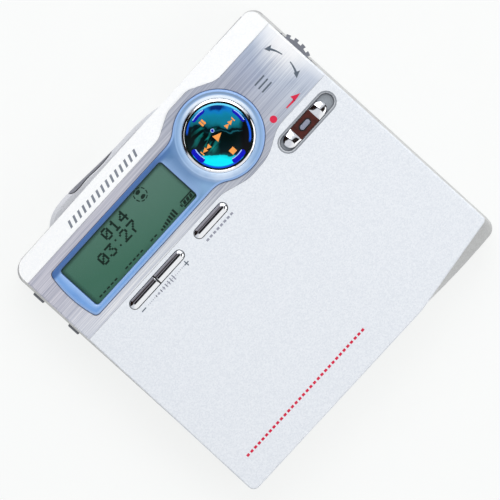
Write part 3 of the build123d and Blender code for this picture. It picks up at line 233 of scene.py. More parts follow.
@dataclass(frozen=True)
class BrushedMetal(Finish):
    """Sheet brushed in one direction: long fine scratches that draw light into streaks."""

    line_mm: float = 0.16
    length_mm: float = 60.0
    along: int = 0

    def pattern(self, tree: Tree, shader: bpy.types.Node, place: Socket) -> None:
        """Lay fine and broad scratches along the brushing."""
        def lines(width: float, length: float) -> Socket:
            """Scratches of one width and length."""
            size = [width] * 3
            size[self.along] = length
            return self.noise(tree, place, size)

        fine, broad = lines(self.line_mm, self.length_mm), lines(self.line_mm * 5, self.length_mm * 1.6)
        both = add(tree, "ShaderNodeMath", {0: broad, 1: 0.5, 2: fine}, operation="MULTIPLY_ADD").outputs[0]
        factor = self.spread(tree, both, 0.0, 1.0, (0.55, 0.95))
        self.tint(tree, shader, factor, linear(self.colour), linear(self.shade))
        rough = self.spread(tree, fine, self.roughness * 0.75, self.roughness * 1.25)
        tree.links.new(rough, shader.inputs["Roughness"])
        self.relief(tree, shader, fine, self.relief_mm)


@dataclass(frozen=True)
class HairlineBand(BrushedMetal):
    """Hairline aluminium with painted light and shade along the band: lightest beside the wheel, with a painted glow
    spot there and streaks that turn white at its right end.
    """

    # painted light and shade along the near and the far side of the band, given at places along X
    near_painted_light: Sequence[tuple[float, str]] = (
        (-39.0, "#F2F4F9"), (-28.0, "#FBFBFD"), (-15.0, "#F0F2F4"), (-6.0, "#F4F5F7"), (4.0, "#D4D6DD"),
        (13.0, "#C6C9D1"), (22.0, "#C8CBD5"), (31.0, "#D8DEE7"), (36.5, "#CCD4E2"), (39.0, "#EEF2F8"),
    )
    far_painted_light: Sequence[tuple[float, str]] = (
        (-39.0, "#DCDAE3"), (-10.0, "#DAD8DF"), (2.0, "#CCCDD6"), (14.0, "#C2C5D0"), (23.0, "#BDC1CE"),
        (28.0, "#C0C7D8"), (33.0, "#C6D1E2"), (36.0, "#DCE4F0"), (39.0, "#FAFCFE"),
    )
    sides: Point = (13.5, 25.0)
    painted_glare_spot: tuple[float, float, float] = (37.4, 24.6, 5.0)

    def pattern(self, tree: Tree, shader: bpy.types.Node, place: Socket) -> None:
        """Lay the scratches, then paint the light and shade along the band."""
        super().pattern(tree, shader, place)
        axes = add(tree, "ShaderNodeSeparateXYZ", {"Vector": place}).outputs
        painted_light_ramps = []
        for side in (self.near_painted_light, self.far_painted_light):
            first, last = side[0][0], side[-1][0]
            along = self.spread(tree, axes["X"], 0.0, 1.0, (first * MM, last * MM))
            stops = tuple(((x - first) / (last - first), colour) for x, colour in side)
            painted_light_ramps.append(add(tree, "ShaderNodeValToRGB", {"Fac": along}, stops=stops).outputs["Color"])
        far = self.spread(tree, axes["Y"], 0.0, 1.0, metres(*self.sides))
        painted_light_tone = add(tree, "ShaderNodeMix", {0: far, 6: painted_light_ramps[0], 7: painted_light_ramps[1]}, data_type="RGBA").outputs[2]
        # a painted glow spot beside the wheel
        x, y, reach = self.painted_glare_spot
        away = add(tree, "ShaderNodeVectorMath", {0: place, 1: metres(x, y, 16.4)}, operation="DISTANCE")
        painted_glare = self.spread(tree, away.outputs["Value"], 0.95, 0.0, metres(0.4 * reach, 1.5 * reach))
        painted_light_tone = add(tree, "ShaderNodeMix", {0: painted_glare, 6: painted_light_tone, 7: linear("#FFFFFF")}, data_type="RGBA").outputs[2]
        # the streaks turn into a painted white glow at the right end
        streaks = shader.inputs["Base Color"].links[0].from_socket
        painted_white_glow = self.spread(tree, axes["X"], 0.0, 0.85, metres(33.0, 37.5))
        streaks = add(tree, "ShaderNodeMix", {0: painted_white_glow, 6: streaks, 7: linear("#FFFFFF")}, data_type="RGBA").outputs[2]
        body = add(tree, "ShaderNodeMix", {0: 1.0, 6: painted_light_tone, 7: streaks}, data_type="RGBA", blend_type="MULTIPLY")
        tree.links.new(body.outputs[2], shader.inputs["Base Color"])


@dataclass(frozen=True)
class TintedResin(Finish):
    """Clear-blue moulded resin over paint, with painted light and shade: painted shade darkens its outer edge and the
    far side of the window frame, and painted highlights pale it round the key and on the near side.
    """

    middle: Point = (13.52, 22.4)
    cool: str = "#5C82AF"
    # painted light on the frame's near side
    pale: str = "#84A9D0"
    clear: str = "#86A4C6"
    # painted shade over the far side of the window frame
    deep: str = "#4A6FA8"
    # painted shade and highlight across the rounded outer edge, by depth behind it
    edges: Sequence[tuple[float, str]] = (
        (0.0, "#34466E"), (0.1, "#4A6294"), (0.22, "#86A8DC"), (0.4, "#A4C2EC"), (0.55, "#7FA8DE"), (0.75, "#9DBDE8"),
    )
    # painted shading round the key: pale inside, a darker crease outside
    dish: Sequence[tuple[float, str]] = (
        (8.0, "#AEC8E6"), (8.7, "#9CBBE0"), (9.2, "#86A7D0"), (9.5, "#96B6DC"), (9.75, "#6F92BE"), (11.5, "#6F92BE"),
    )
    # the colour of the painted highlights above and below the key
    bright: str = "#EAF4FF"

    def pattern(self, tree: Tree, shader: bpy.types.Node, place: Socket) -> None:
        """Colour the resin by its place, then paint its light and shade: the dish round the key, highlights above and
        below the key, and shade by how deep it lies behind its edges.
        """
        def mixed(factor: Socket, one: object, other: object) -> Socket:
            """One colour over another where the factor is high."""
            return add(tree, "ShaderNodeMix", {0: factor, 6: one, 7: other}, data_type="RGBA").outputs[2]

        def both(one: Socket, other: Socket) -> Socket:
            """Where both factors are high."""
            return add(tree, "ShaderNodeMath", {0: one, 1: other}, operation="MULTIPLY").outputs[0]

        def stepped(value: Socket, steps: Sequence[tuple[float, str]], unit: float) -> Socket:
            """The colour at a value, from steps given in one unit."""
            first, last = steps[0][0], steps[-1][0]
            share = self.spread(tree, value, 0.0, 1.0, (first * unit, last * unit))
            stops = tuple(((at - first) / (last - first), colour) for at, colour in steps)
            return add(tree, "ShaderNodeValToRGB", {"Fac": share}, stops=stops).outputs["Color"]

        axes = add(tree, "ShaderNodeSeparateXYZ", {"Vector": place}).outputs
        cloud = self.spread(tree, self.noise(tree, place, [4.0] * 3), 0.0, 1.0)
        body = mixed(cloud, linear(self.colour), linear(self.shade))
        body = mixed(self.spread(tree, axes["X"], 0.0, 1.0, metres(-6.0, 2.0)), body, linear(self.cool))
        body = mixed(self.spread(tree, axes["X"], 0.0, 1.0, metres(4.0, 9.0)), body, linear(self.clear))
        # painted light on the frame's near side
        near_arm_painted_light = both(self.spread(tree, axes["Y"], 1.0, 0.0, metres(17.5, 21.5)),
                         self.spread(tree, axes["X"], 0.0, 1.0, metres(-1.5, 3.0)))
        body = mixed(near_arm_painted_light, body, linear(self.pale))
        flat = add(tree, "ShaderNodeVectorMath", {
            0: place, 1: metres(-self.middle[0], -self.middle[1], 0.0),
        }, operation="ADD").outputs[0]
        flat = add(tree, "ShaderNodeVectorMath", {0: flat, 1: (1.0, 1.0, 0.0)}, operation="MULTIPLY").outputs[0]
        away = add(tree, "ShaderNodeVectorMath", {0: flat}, operation="LENGTH").outputs["Value"]
        lift = add(tree, "ShaderNodeVectorMath", {0: flat, 1: (0.738, 0.671, 0.0)}, operation="DOT_PRODUCT").outputs["Value"]
        near = self.spread(tree, away, 1.0, 0.0, metres(9.8, 11.2))
        body = mixed(near, body, stepped(away, self.dish, MM))
        # painted highlights above the key and below it
        top = both(self.spread(tree, away, 1.0, 0.0, metres(8.7, 9.1)), self.spread(tree, lift, 0.0, 1.0, metres(2.5, 7.0)))
        foot = both(self.spread(tree, away, 1.0, 0.0, metres(8.7, 10.4)), self.spread(tree, lift, 1.0, 0.0, metres(-8.8, -4.5)))
        body = mixed(top, body, linear(self.bright))
        body = mixed(both(foot, self.spread(tree, cloud, 0.2, 0.8, (0.0, 1.0))), body, linear(self.bright))
        # a painted darker crease in an arc beside the key
        body = mixed(both(both(near, self.spread(tree, away, 0.0, 1.0, metres(9.0, 9.4))),
                          self.spread(tree, lift, 0.0, 1.0, metres(2.5, 7.0))), body, linear("#7F95B2"))
        # painted shade over the far side of the window frame
        far_arm_painted_shade = both(self.spread(tree, axes["Y"], 0.0, 1.0, metres(27.5, 28.1)),
                   self.spread(tree, axes["X"], 1.0, 0.0, metres(0.0, 6.0)))
        # painted shade and highlight along the outer edge, by depth behind it
        edge = add(tree, "ShaderNodeAttribute", attribute_name="edge").outputs["Fac"]
        rim = stepped(edge, self.edges, 1.0)
        body = mixed(self.spread(tree, edge, 0.0, 1.0, (0.62, 0.9)), rim, body)
        inside = self.spread(tree, edge, 0.0, 1.0, (0.08, 0.26))
        self.tint(tree, shader, both(far_arm_painted_shade, inside), body, linear(self.deep))
        self.relief(tree, shader, self.noise(tree, place, [2.5] * 3), self.relief_mm)


@dataclass(frozen=True)
class WindowPane(Finish):
    """Hard-coated acrylic: clear, with a faint green cast and a sharp gloss."""

    alpha: float = 0.16

    def pattern(self, tree: Tree, shader: bpy.types.Node, place: Socket) -> None:
        """Let most light through, with a faint unevenness from moulding."""
        shader.inputs["Alpha"].default_value = self.alpha
        cloud = self.noise(tree, place, [6.0] * 3)
        self.tint(tree, shader, cloud, linear(self.colour), linear(self.shade))
        self.relief(tree, shader, cloud, self.relief_mm)


@dataclass(frozen=True)
class DisplayCell(Finish):
    """A reflective liquid-crystal cell: green, greyer to the far right, with a painted shadow under the window's edges.
    """

    reach: tuple[float, float, float, float] = (-31.85, 0.8, 17.0, 28.15)

    def pattern(self, tree: Tree, shader: bpy.types.Node, place: Socket) -> None:
        """Grey the cell across its width towards the far right, and paint the window's shadow under its far, left and
        right edges.
        """
        axes = add(tree, "ShaderNodeSeparateXYZ", {"Vector": place})
        left, right, near, far = (value * MM for value in self.reach)
        across = self.spread(tree, axes.outputs["X"], 0.0, 1.0, (left, right))
        up = self.spread(tree, axes.outputs["Y"], 0.0, 1.0, (near, far))
        slope = add(tree, "ShaderNodeMath", {0: across, 1: up}, operation="ADD").outputs[0]
        lit = self.spread(tree, slope, 0.0, 1.0, (0.5, 1.8))
        body = add(tree, "ShaderNodeMix", {0: lit, 6: linear(self.colour), 7: linear(self.shade)}, data_type="RGBA")
        # painted shadow under the window's left, far and right edges
        left_edge_shadow = self.spread(tree, axes.outputs["X"], 1.0, 0.0, (left, left + 1.1 * MM))
        far_edge_shadow = self.spread(tree, axes.outputs["Y"], 0.0, 1.0, (far - 0.9 * MM, far))
        right_edge_shadow = self.spread(tree, axes.outputs["X"], 0.0, 0.9, (right - 0.45 * MM, right - 0.1 * MM))
        under = add(tree, "ShaderNodeMath", {0: left_edge_shadow, 1: far_edge_shadow}, operation="MAXIMUM").outputs[0]
        under = add(tree, "ShaderNodeMath", {0: under, 1: right_edge_shadow}, operation="MAXIMUM").outputs[0]
        grain = self.noise(tree, place, [0.3] * 3)
        shadow = add(tree, "ShaderNodeMath", {0: under, 1: self.spread(tree, grain, 0.78, 0.9)}, operation="MULTIPLY")
        self.tint(tree, shader, shadow.outputs[0], body.outputs[2], linear("#15292A"))


@dataclass(frozen=True)
class PaintedKeyReflections(Finish):
    """A glossy key whose colours are painted reflections of the room: cyan at one rim, black and sea green between,
    teal at the other.
    """

    middle: Point = (13.52, 22.4)
    radius_mm: float = 7.25
    up: Point = (0.74, 0.672)

    def pattern(self, tree: Tree, shader: bpy.types.Node, place: Socket) -> None:
        """Paint the reflections' bands across the key, then a swirl, a dark side, highlights round the rim and a dark
        edge.
        """
        spot = add(tree, "ShaderNodeMapping", {
            "Vector": place, "Location": metres(-self.middle[0], -self.middle[1], 0.0), "Scale": (1.0, 1.0, 0.0),
        }).outputs[0]

        def along(direction: Point) -> Socket:
            """A place's distance from the middle along a direction, in key radii."""
            unit = (direction[0] / (self.radius_mm * MM), direction[1] / (self.radius_mm * MM), 0.0)
            return add(tree, "ShaderNodeVectorMath", {0: spot, 1: unit}, operation="DOT_PRODUCT").outputs["Value"]

        def both(one: Socket, other: Socket, operation: str = "MULTIPLY") -> Socket:
            """Two factors worked into one."""
            return add(tree, "ShaderNodeMath", {0: one, 1: other}, operation=operation).outputs[0]

        def mixed(factor: Socket, one: Socket, colour: str) -> Socket:
            """A colour laid over another where the factor is high."""
            keys = {0: factor, 6: one, 7: linear(colour)}
            return add(tree, "ShaderNodeMix", keys, data_type="RGBA").outputs[2]

        # film: the key's colour, all of it painted reflections of the room, laid by place on the key
        rise, side = along(self.up), along((self.up[1], -self.up[0]))
        wave = self.noise(tree, place, [3.4] * 3, 3.0)
        bent = both(self.spread(tree, wave, -0.1, 0.1), rise, "ADD")
        height = self.spread(tree, bent, 0.0, 1.0, (-1.0, 1.0))
        film = add(tree, "ShaderNodeValToRGB", {"Fac": height}, stops=(
            (0.0, "#00E8FF"), (0.13, "#00F0FA"), (0.185, "#00D2DE"), (0.2, "#0A4A50"), (0.235, "#051B20"),
            (0.5, "#03100F"), (0.62, "#041A20"), (0.645, "#0D5A66"), (0.7, "#117488"), (0.8, "#1180A4"),
            (0.88, "#1078C4"), (1.0, "#0E78D8"),
        )).outputs["Color"]
        blob = both(self.spread(tree, side, 1.0, 0.0, (0.08, 0.26)), self.spread(tree, side, 0.0, 1.0, (-0.42, -0.22)))
        blob = both(blob, self.spread(tree, bent, 0.0, 1.0, (0.74, 0.8)))
        film = mixed(blob, film, "#06286E")
        strokes = add(tree, "ShaderNodeMapping", {
            "Vector": spot, "Rotation": (0.0, 0.0, math.radians(-78)), "Scale": (1 / 0.0042, 1 / 0.0011, 1.0),
        }).outputs[0]
        brush = add(tree, "ShaderNodeTexNoise", {
            "Vector": strokes, "Scale": 1.0, "Detail": 1.5, "Distortion": 0.6,
        }).outputs["Fac"]
        zone = both(self.spread(tree, side, 1.0, 0.0, (-0.16, 0.06)), self.spread(tree, bent, 0.0, 1.0, (-0.62, -0.3)))
        zone = both(zone, self.spread(tree, bent, 1.0, 0.0, (0.14, 0.24)))
        zone = both(zone, self.spread(tree, side, 0.0, 1.0, (-0.85, -0.5)))
        film = mixed(both(zone, self.spread(tree, brush, 0.0, 1.0, (0.46, 0.62))), film, "#14807C")
        streak = both(self.spread(tree, bent, 0.0, 1.0, (0.1, 0.14)), self.spread(tree, bent, 1.0, 0.0, (0.14, 0.18)))
        streak = both(streak, self.spread(tree, side, 0.0, 1.0, (-0.5, 0.3)))
        film = mixed(streak, film, "#1A5E6A")
        dark = both(self.spread(tree, side, 0.0, 1.0, (0.6, 0.74)), self.spread(tree, rise, 1.0, 0.0, (0.5, 0.75)))
        dark = both(dark, self.spread(tree, rise, 0.0, 1.0, (-0.6, -0.45)))
        film = mixed(dark, film, "#020407")
        # painted highlights and bright arcs round the rim
        far = add(tree, "ShaderNodeVectorMath", {0: spot}, operation="LENGTH").outputs["Value"]
        rim = self.spread(tree, far, 0.0, 1.0, (0.91 * self.radius_mm * MM, 0.94 * self.radius_mm * MM))
        top = both(rim, self.spread(tree, rise, 0.0, 1.0, (0.62, 0.8)))
        film = mixed(top, film, "#6CDCFF")
        flank = both(rim, self.spread(tree, side, 0.0, 1.0, (0.78, 0.86)))
        flank = both(flank, self.spread(tree, rise, 0.0, 1.0, (-0.2, -0.1)))
        film = mixed(flank, film, "#1660E8")
        far_flank = both(rim, self.spread(tree, side, 1.0, 0.0, (-0.9, -0.82)))
        far_flank = both(far_flank, self.spread(tree, rise, 0.0, 1.0, (0.0, 0.1)))
        film = mixed(far_flank, film, "#1250C8")
        foot = both(rim, self.spread(tree, rise, 1.0, 0.0, (-0.75, -0.6)))
        film = mixed(foot, film, "#0A58E0")
        # painted shade at the key's very edge
        edge = self.spread(tree, far, 0.0, 1.0, (0.975 * self.radius_mm * MM, 0.985 * self.radius_mm * MM))
        tree.links.new(mixed(edge, film, "#020308"), shader.inputs["Base Color"])
        self.relief(tree, shader, wave, self.relief_mm)


@dataclass(frozen=True)
class StudioFloor(Finish):
    """A lit white table: nearly white to the eye, with a faint soft shadow."""

    glow: str = "#FBFCFB"
    share: float = 0.85

    def pattern(self, tree: Tree, shader: bpy.types.Node, place: Socket) -> None:
        """Lay an even glow over the painted board for the eye and for gloss."""
        super().pattern(tree, shader, place)
        rays = add(tree, "ShaderNodeLightPath").outputs
        seen = rays["Is Camera Ray"]
        for other in ("Is Glossy Ray", "Is Transmission Ray"):
            seen = add(tree, "ShaderNodeMath", {0: seen, 1: rays[other]}, operation="MAXIMUM").outputs[0]
        share = add(tree, "ShaderNodeMath", {0: seen, 1: self.share}, operation="MULTIPLY").outputs[0]
        glow = add(tree, "ShaderNodeEmission", {"Color": linear(self.glow), "Strength": 1.0}).outputs[0]
        both = add(tree, "ShaderNodeMixShader", {0: share, 1: shader.outputs[0], 2: glow}).outputs[0]
        end = next(node for node in tree.nodes if node.type == "OUTPUT_MATERIAL")
        tree.links.new(both, end.inputs["Surface"])


@dataclass(frozen=True)
class SolderMask(Finish):
    """Etched board under green mask: paler tracks a third of a millimetre wide."""

    def pattern(self, tree: Tree, shader: bpy.types.Node, place: Socket) -> None:
        """Draw the tracks as the joints of a brick pattern, and roughen the mask."""
        spot = add(tree, "ShaderNodeMapping", {"Vector": place, "Rotation": (0.0, 0.0, math.pi / 4)}).outputs[0]
        tracks = add(tree, "ShaderNodeTexBrick", {
            "Vector": spot, "Scale": 1.0, "Mortar Size": 0.00014, "Brick Width": 0.0031, "Row Height": 0.0009,
            "Color1": linear(self.colour), "Color2": linear(self.shade), "Mortar": linear("#2E7A52"),
        })
        tree.links.new(tracks.outputs["Color"], shader.inputs["Base Color"])
        self.relief(tree, shader, self.noise(tree, place, [0.4] * 3), self.relief_mm)


class Metal(Enum):
    """The metals that the recorder's hidden and bright parts are made of."""

    CHROME = BrushedMetal("polished_chrome", "#F2F3F5", "#E6E8EC", 0.07, relief_mm=0.00005, metallic=1.0)
    STEEL = BrushedMetal("ground_steel", "#B9B9BB", "#8F9093", 0.3, relief_mm=0.001, metallic=1.0, line_mm=0.12)
    DECK = BrushedMetal("zinc_plated_steel", "#C4C4BE", "#B0B1AC", 0.38, relief_mm=0.001, metallic=0.6, line_mm=0.4)
    LINER = BrushedMetal("stainless_sheet", "#B6B7BA", "#A2A4A8", 0.34, relief_mm=0.001, metallic=0.7, along=1)
    SPRING = Finish("gilt_phosphor_bronze", "#D8B45E", "#B88E3C", 0.28, metallic=1.0, relief_mm=0.001)


class Paint(Enum):
    """Painted, blasted and brushed outsides."""

    # pearl white over aluminium: cool white with a fine sparkle
    PLATE = PearlLacquer("pearl_lacquered_aluminium", "#EDF0F4", "#DFE3E9", 0.42, relief_mm=0.004, coat=0.2)
    # hairline aluminium: cool grey streaks, with painted light that is brightest beside the wheel
    BAND = HairlineBand("hairline_aluminium", "#FFFFFF", "#C6CAD4", 0.42, relief_mm=0.002, metallic=0.35,
                        line_mm=0.24, length_mm=18.0)
    # satin lacquer: even, close to white
    STRIP = PearlLacquer("satin_white_lacquer", "#FBFBFA", "#F4F5F6", 0.5, relief_mm=0.002)
    # painted ABS: even warm grey with a faint sheen
    SIDES = PearlLacquer("silver_painted_abs", "#CBCBCA", "#BEBEBC", 0.4, relief_mm=0.002, metallic=0.2)
    # blasted and anodised alloy: fine matt grain
    CASE = Finish("anodised_magnesium_alloy", "#C8C8C8", "#B8B8B7", 0.46, 0.16, 0.005, metallic=0.35)
    BELT = Finish("satin_anodised_aluminium", "#CBCBCC", "#BBBBBD", 0.4, 0.14, 0.003, metallic=0.4)
    BULGE = Finish("silver_lacquered_abs", "#E4E5EA", "#D8DADF", 0.3, 0.3, 0.002, metallic=0.2, coat=0.4)
    TRAY = PearlLacquer("silver_painted_recess", "#9DA3A9", "#90969D", 0.4, relief_mm=0.002, metallic=0.2)
    RIM = Finish("silver_slot_rim", "#D6D8DC", "#CCCED3", 0.35, 0.2, 0.002)
    COVER = Finish("grey_elastomer_cover", "#8A8B93", "#7A7B84", 0.5, 0.2, 0.004)
    CELL = Finish("shrink_wrapped_cell", "#A9B4AC", "#8F9C94", 0.3, 0.8, 0.003, metallic=0.4)


class Resin(Enum):
    """Moulded and cast parts."""

    BEZEL = TintedResin("pale_blue_polycarbonate", "#7DA9E2", "#739FDA", 0.22, relief_mm=0.002, coat=0.12,
                        specular=0.3)
    WINDOW = WindowPane("hard_coated_acrylic", "#5E8B78", "#557F6E", 0.05, relief_mm=0.0005, alpha=0.05)
    DISPLAY = DisplayCell("liquid_crystal_cell", "#406E5B", "#5A7D70", 0.32, specular=0.2)
    KEY = PaintedKeyReflections("key_with_painted_reflections", "#04191C", "#00DDEC", 0.12, relief_mm=0.002, specular=0.12)
    DARK = Finish("moulded_black_abs", "#26272A", "#1C1D1F", 0.5, 0.2, 0.006)
    NUB = Finish("violet_grey_abs", "#9094A6", "#848899", 0.4, 0.2, 0.004)
    KNOB = Finish("moulded_grey_abs", "#8E9095", "#7F8186", 0.42, 0.2, 0.005)
    WHEEL = Finish("moulded_acetal", "#787B84", "#6A6D76", 0.45, 0.2, 0.004)
    RUBBER = Finish("black_butyl_rubber", "#161617", "#0E0E0F", 0.82, 0.3, 0.008)
    LENS = Finish("coated_glass_lens", "#3A4C86", "#54459A", 0.06, 1.6, 0.0005, coat=1.0)
    BOARD = SolderMask("solder_masked_board", "#14482C", "#103C25", 0.35, relief_mm=0.004)
    WALNUT = Finish("smoked_brown_abs", "#5A2E28", "#341A17", 0.22, 0.9, 0.002, specular=0.3)


class Ink(Enum):
    """Pad-printed and moulded-in colours. Each has the faint unevenness of a printed film."""

    GREY = Finish("grey_pad_print", "#56606C", "#606A76", 0.5, 0.18, 0.0005, specular=0.2)
    MIST = Finish("mist_grey_pad_print", "#9092A0", "#9A9CA8", 0.5, 0.18, 0.0005, specular=0.2)
    PALE = Finish("pale_grey_pad_print", "#7A808A", "#868C96", 0.5, 0.18, 0.0005, specular=0.2)
    RED = Finish("red_pad_print", "#DE2A4C", "#D02444", 0.45, 0.18, 0.0005, specular=0.2)
    DISPLAY = Finish("liquid_crystal_segment", "#06100D", "#0B1713", 0.45, 0.12, 0.0002, specular=0.1)
    ORANGE = Finish("orange_pad_print", "#FAA654", "#F79A44", 0.42, 0.15, 0.0005, specular=0.2)
    BLUE = Finish("deep_blue_resin", "#0610CC", "#0408A4", 0.3, 0.5, 0.0005, specular=0.15)
    # also laid as painted highlights beside the key's blue bars
    SKY = Finish("sky_blue_resin", "#B4D4FF", "#9CC2FC", 0.3, 0.4, 0.0005, specular=0.2)


# -------------------------------------------------------------------- shapes
def rectangle(middle: Point, size: Point, turn: float = 0.0) -> Outline:
    """A rectangle about its middle, turned by an angle in degrees."""
    half_x, half_y = size[0] / 2, size[1] / 2
    corners = [(-half_x, -half_y), (half_x, -half_y), (half_x, half_y), (-half_x, half_y)]
    return turned(corners, middle, turn)


def turned(points: Outline, middle: Point, turn: float) -> Outline:
    """Points about the origin, turned by an angle in degrees and moved to a middle."""
    cos, sin = math.cos(math.radians(turn)), math.sin(math.radians(turn))
    return [(middle[0] + x * cos - y * sin, middle[1] + x * sin + y * cos) for x, y in points]


def disc(middle: Point, radius: float, count: int = 24) -> Outline:
    """A round outline."""
    return [
        (middle[0] + radius * math.cos(math.tau * n / count), middle[1] + radius * math.sin(math.tau * n / count))
        for n in range(count)
    ]


def capsule(middle: Point, length: float, width: float, turn: float = 0.0) -> Outline:
    """A bar with round ends, its length along X before it is turned."""
    reach, radius = (length - width) / 2, width / 2
    points = [
        (side * reach + radius * math.cos(angle), radius * math.sin(angle))
        for side, start in ((1, -math.pi / 2), (-1, math.pi / 2))
        for angle in (start + math.pi * n / 8 for n in range(9))
    ]
    return turned(points, middle, turn)


def capsule_ring(middle: Point, length: float, width: float, line: float) -> list[Outline]:
    """A line round a bar with round ends, as cells that share their corners."""
    return ribbon(capsule(middle, length, width), line, closed=True)


def ribbon(points: Outline, width: Union[float, Sequence[float]], closed: bool = False) -> list[Outline]:
    """A band along a line, as cells that share their corners.

    Args:
        points: The line's points.
        width: The band's width, or one width for each point.
        closed: Whether the line's end joins its start.

    Returns:
        One four-cornered cell for each stretch of the line.
    """
    count = len(points)
    widths = [width] * count if isinstance(width, (int, float)) else list(width)
    sides = []
    for at, (x, y) in enumerate(points):
        before = points[at - 1] if closed or at else points[0]
        after = points[(at + 1) % count] if closed or at < count - 1 else points[-1]
        along = Vector((after[0] - before[0], after[1] - before[1])).normalized()
        out = Vector((-along.y, along.x)) * widths[at] / 2
        sides.append(((x + out.x, y + out.y), (x - out.x, y - out.y)))
    steps = range(count if closed else count - 1)
    return [(sides[n][0], sides[n][1], sides[(n + 1) % count][1], sides[(n + 1) % count][0]) for n in steps]


def arc(middle: Point, radius: float, start: float, end: float, count: int = 16) -> Outline:
    """Points along part of a circle, between two angles in degrees."""
    angles = [math.radians(start + (end - start) * n / count) for n in range(count + 1)]
    return [(middle[0] + radius * math.cos(a), middle[1] + radius * math.sin(a)) for a in angles]


def facing(cell: Outline) -> Outline:
    """The same cell with its corners in anticlockwise order."""
    area = sum(a[0] * b[1] - b[0] * a[1] for a, b in zip(cell, list(cell[1:]) + [cell[0]]))
    return list(cell) if area > 0 else list(cell)[::-1]


def raised(name: str, cells: Iterable[Outline], surface: Heights, thickness: float, sink: float = 0.01) -> Piece:
    """A thin raised shape that follows a surface.

    Args:
        name: The piece's name.
        cells: Flat cells. Where two share a side they become one solid.
        surface: The surface's height at a place.
        thickness: How far the shape stands above the surface.
        sink: How far it reaches into the surface, so that it is joined to it.

    Returns:
        The closed mesh as an object.
    """
    mesh = bmesh.new()
    corners: dict[Point, tuple[bmesh.types.BMVert, bmesh.types.BMVert]] = {}
    sides: Counter = Counter()
    for cell in map(facing, cells):
        keys = [(round(x, 4), round(y, 4)) for x, y in cell]
        for key in keys:
            if key not in corners:
                z = surface(*key)
                corners[key] = tuple(
                    mesh.verts.new((key[0] * MM, key[1] * MM, (z + dz) * MM)) for dz in (-sink, thickness)
                )
        mesh.faces.new([corners[key][1] for key in keys])
        mesh.faces.new([corners[key][0] for key in reversed(keys)])
        for pair in zip(keys, keys[1:] + keys[:1]):
            sides[pair] += 1
    for (one, two) in sides:
        if (two, one) not in sides:
            low, high = corners[one], corners[two]
            mesh.faces.new((low[0], high[0], high[1], low[1]))
    return finished(name, mesh)


def finished(name: str, mesh: bmesh.types.BMesh, smooth: float = 0.0) -> Piece:
    """Turn a built mesh into an object in the scene, and free it.

    Args:
        name: The piece's name.
        mesh: The mesh, in metres.
        smooth: Faces that meet at less than this angle, in degrees, shade as one.

    Returns:
        The object.
    """
    if smooth:
        bmesh.ops.recalc_face_normals(mesh, faces=mesh.faces)
        for face in mesh.faces:
            face.smooth = True
        for edge in mesh.edges:
            edge.smooth = edge.calc_face_angle(0.0) < math.radians(smooth)
    data = bpy.data.meshes.new(name)
    mesh.to_mesh(data)
    mesh.free()
    piece = bpy.data.objects.new(name, data)
    bpy.context.scene.collection.objects.link(piece)
    return piece


def slice_of(node: str, height: float, step: float) -> list[Outline]:
    """The outlines of a CAD node at a height, with evenly spaced points.

    Args:
        node: The node's name.
        height: The height of the cut.
        step: The wanted spacing of the points.

    Returns:
        The outlines, longest first, each anticlockwise.
    """
    mesh = bmesh.new()
    mesh.from_mesh(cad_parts[node].data)
    bmesh.ops.remove_doubles(mesh, verts=mesh.verts, dist=1e-6)
    everything = mesh.verts[:] + mesh.edges[:] + mesh.faces[:]
    bmesh.ops.bisect_plane(
        mesh, geom=everything, plane_co=(0, 0, height * MM), plane_no=(0, 0, 1), clear_inner=True, clear_outer=True
    )
    bmesh.ops.remove_doubles(mesh, verts=mesh.verts, dist=1e-6)
    left, loops = set(mesh.verts), []
    while left:
        here = left.pop()
        chain = [here]
        while True:
            ahead = [edge.other_vert(here) for edge in here.link_edges if edge.other_vert(here) in left]
            if not ahead:
                break
            here = ahead[0]
            left.discard(here)
            chain.append(here)
        if len(chain) > 2:
            loops.append(even([(vert.co.x / MM, vert.co.y / MM) for vert in chain], step))
    mesh.free()
    return sorted(map(facing, loops), key=len, reverse=True)


def even(points: Outline, step: float) -> Outline:
    """A closed outline with its points spaced evenly and its facets rounded off."""
    ends = list(points[1:]) + [points[0]]
    lengths = [math.dist(a, b) for a, b in zip(points, ends)]
    count = max(12, round(sum(lengths) / step))
    gap, at, index, spaced = sum(lengths) / count, 0.0, 0, []
    for _ in range(count):
        while at > lengths[index]:
            at -= lengths[index]
            index += 1
        share = at / lengths[index]
        (ax, ay), (bx, by) = points[index], ends[index]
        spaced.append((ax + (bx - ax) * share, ay + (by - ay) * share))
        at += gap
    for _ in range(2):
        spaced = [
            ((a[0] + 2 * b[0] + c[0]) / 4, (a[1] + 2 * b[1] + c[1]) / 4)
            for a, b, c in zip(spaced[-1:] + spaced[:-1], spaced, spaced[1:] + spaced[:1])
        ]
    return spaced


def inset(loop: Outline, depth: float) -> Outline:
    """An anticlockwise outline moved inwards."""
    moved = []
    for before, here, after in zip(loop[-1:] + loop[:-1], loop, loop[1:] + loop[:1]):
        along = Vector((after[0] - before[0], after[1] - before[1])).normalized()
        moved.append((here[0] - along.y * depth, here[1] + along.x * depth))
    return moved


def lathe(name: str, profile: Outline, middle: Point, count: int, smooth: float = 35.0) -> Piece:
    """A closed profile of radii and heights turned about an upright axis.

    Args:
        name: The piece's name.
        profile: The profile's corners as radius and height, none on the axis.
        middle: The axis's place.
        count: The number of steps round the axis.
        smooth: The smoothing angle in degrees.

    Returns:
        The turned piece.
    """
    mesh = bmesh.new()
    rows = []
    for step in range(count):
        cos, sin = math.cos(math.tau * step / count), math.sin(math.tau * step / count)
        rows.append([mesh.verts.new(metres(middle[0] + r * cos, middle[1] + r * sin, z)) for r, z in profile])
    for row, after in zip(rows, rows[1:] + rows[:1]):
        for a, b, c, d in zip(row, row[1:] + row[:1], after[1:] + after[:1], after):
            mesh.faces.new((a, b, c, d))
    return finished(name, mesh, smooth)


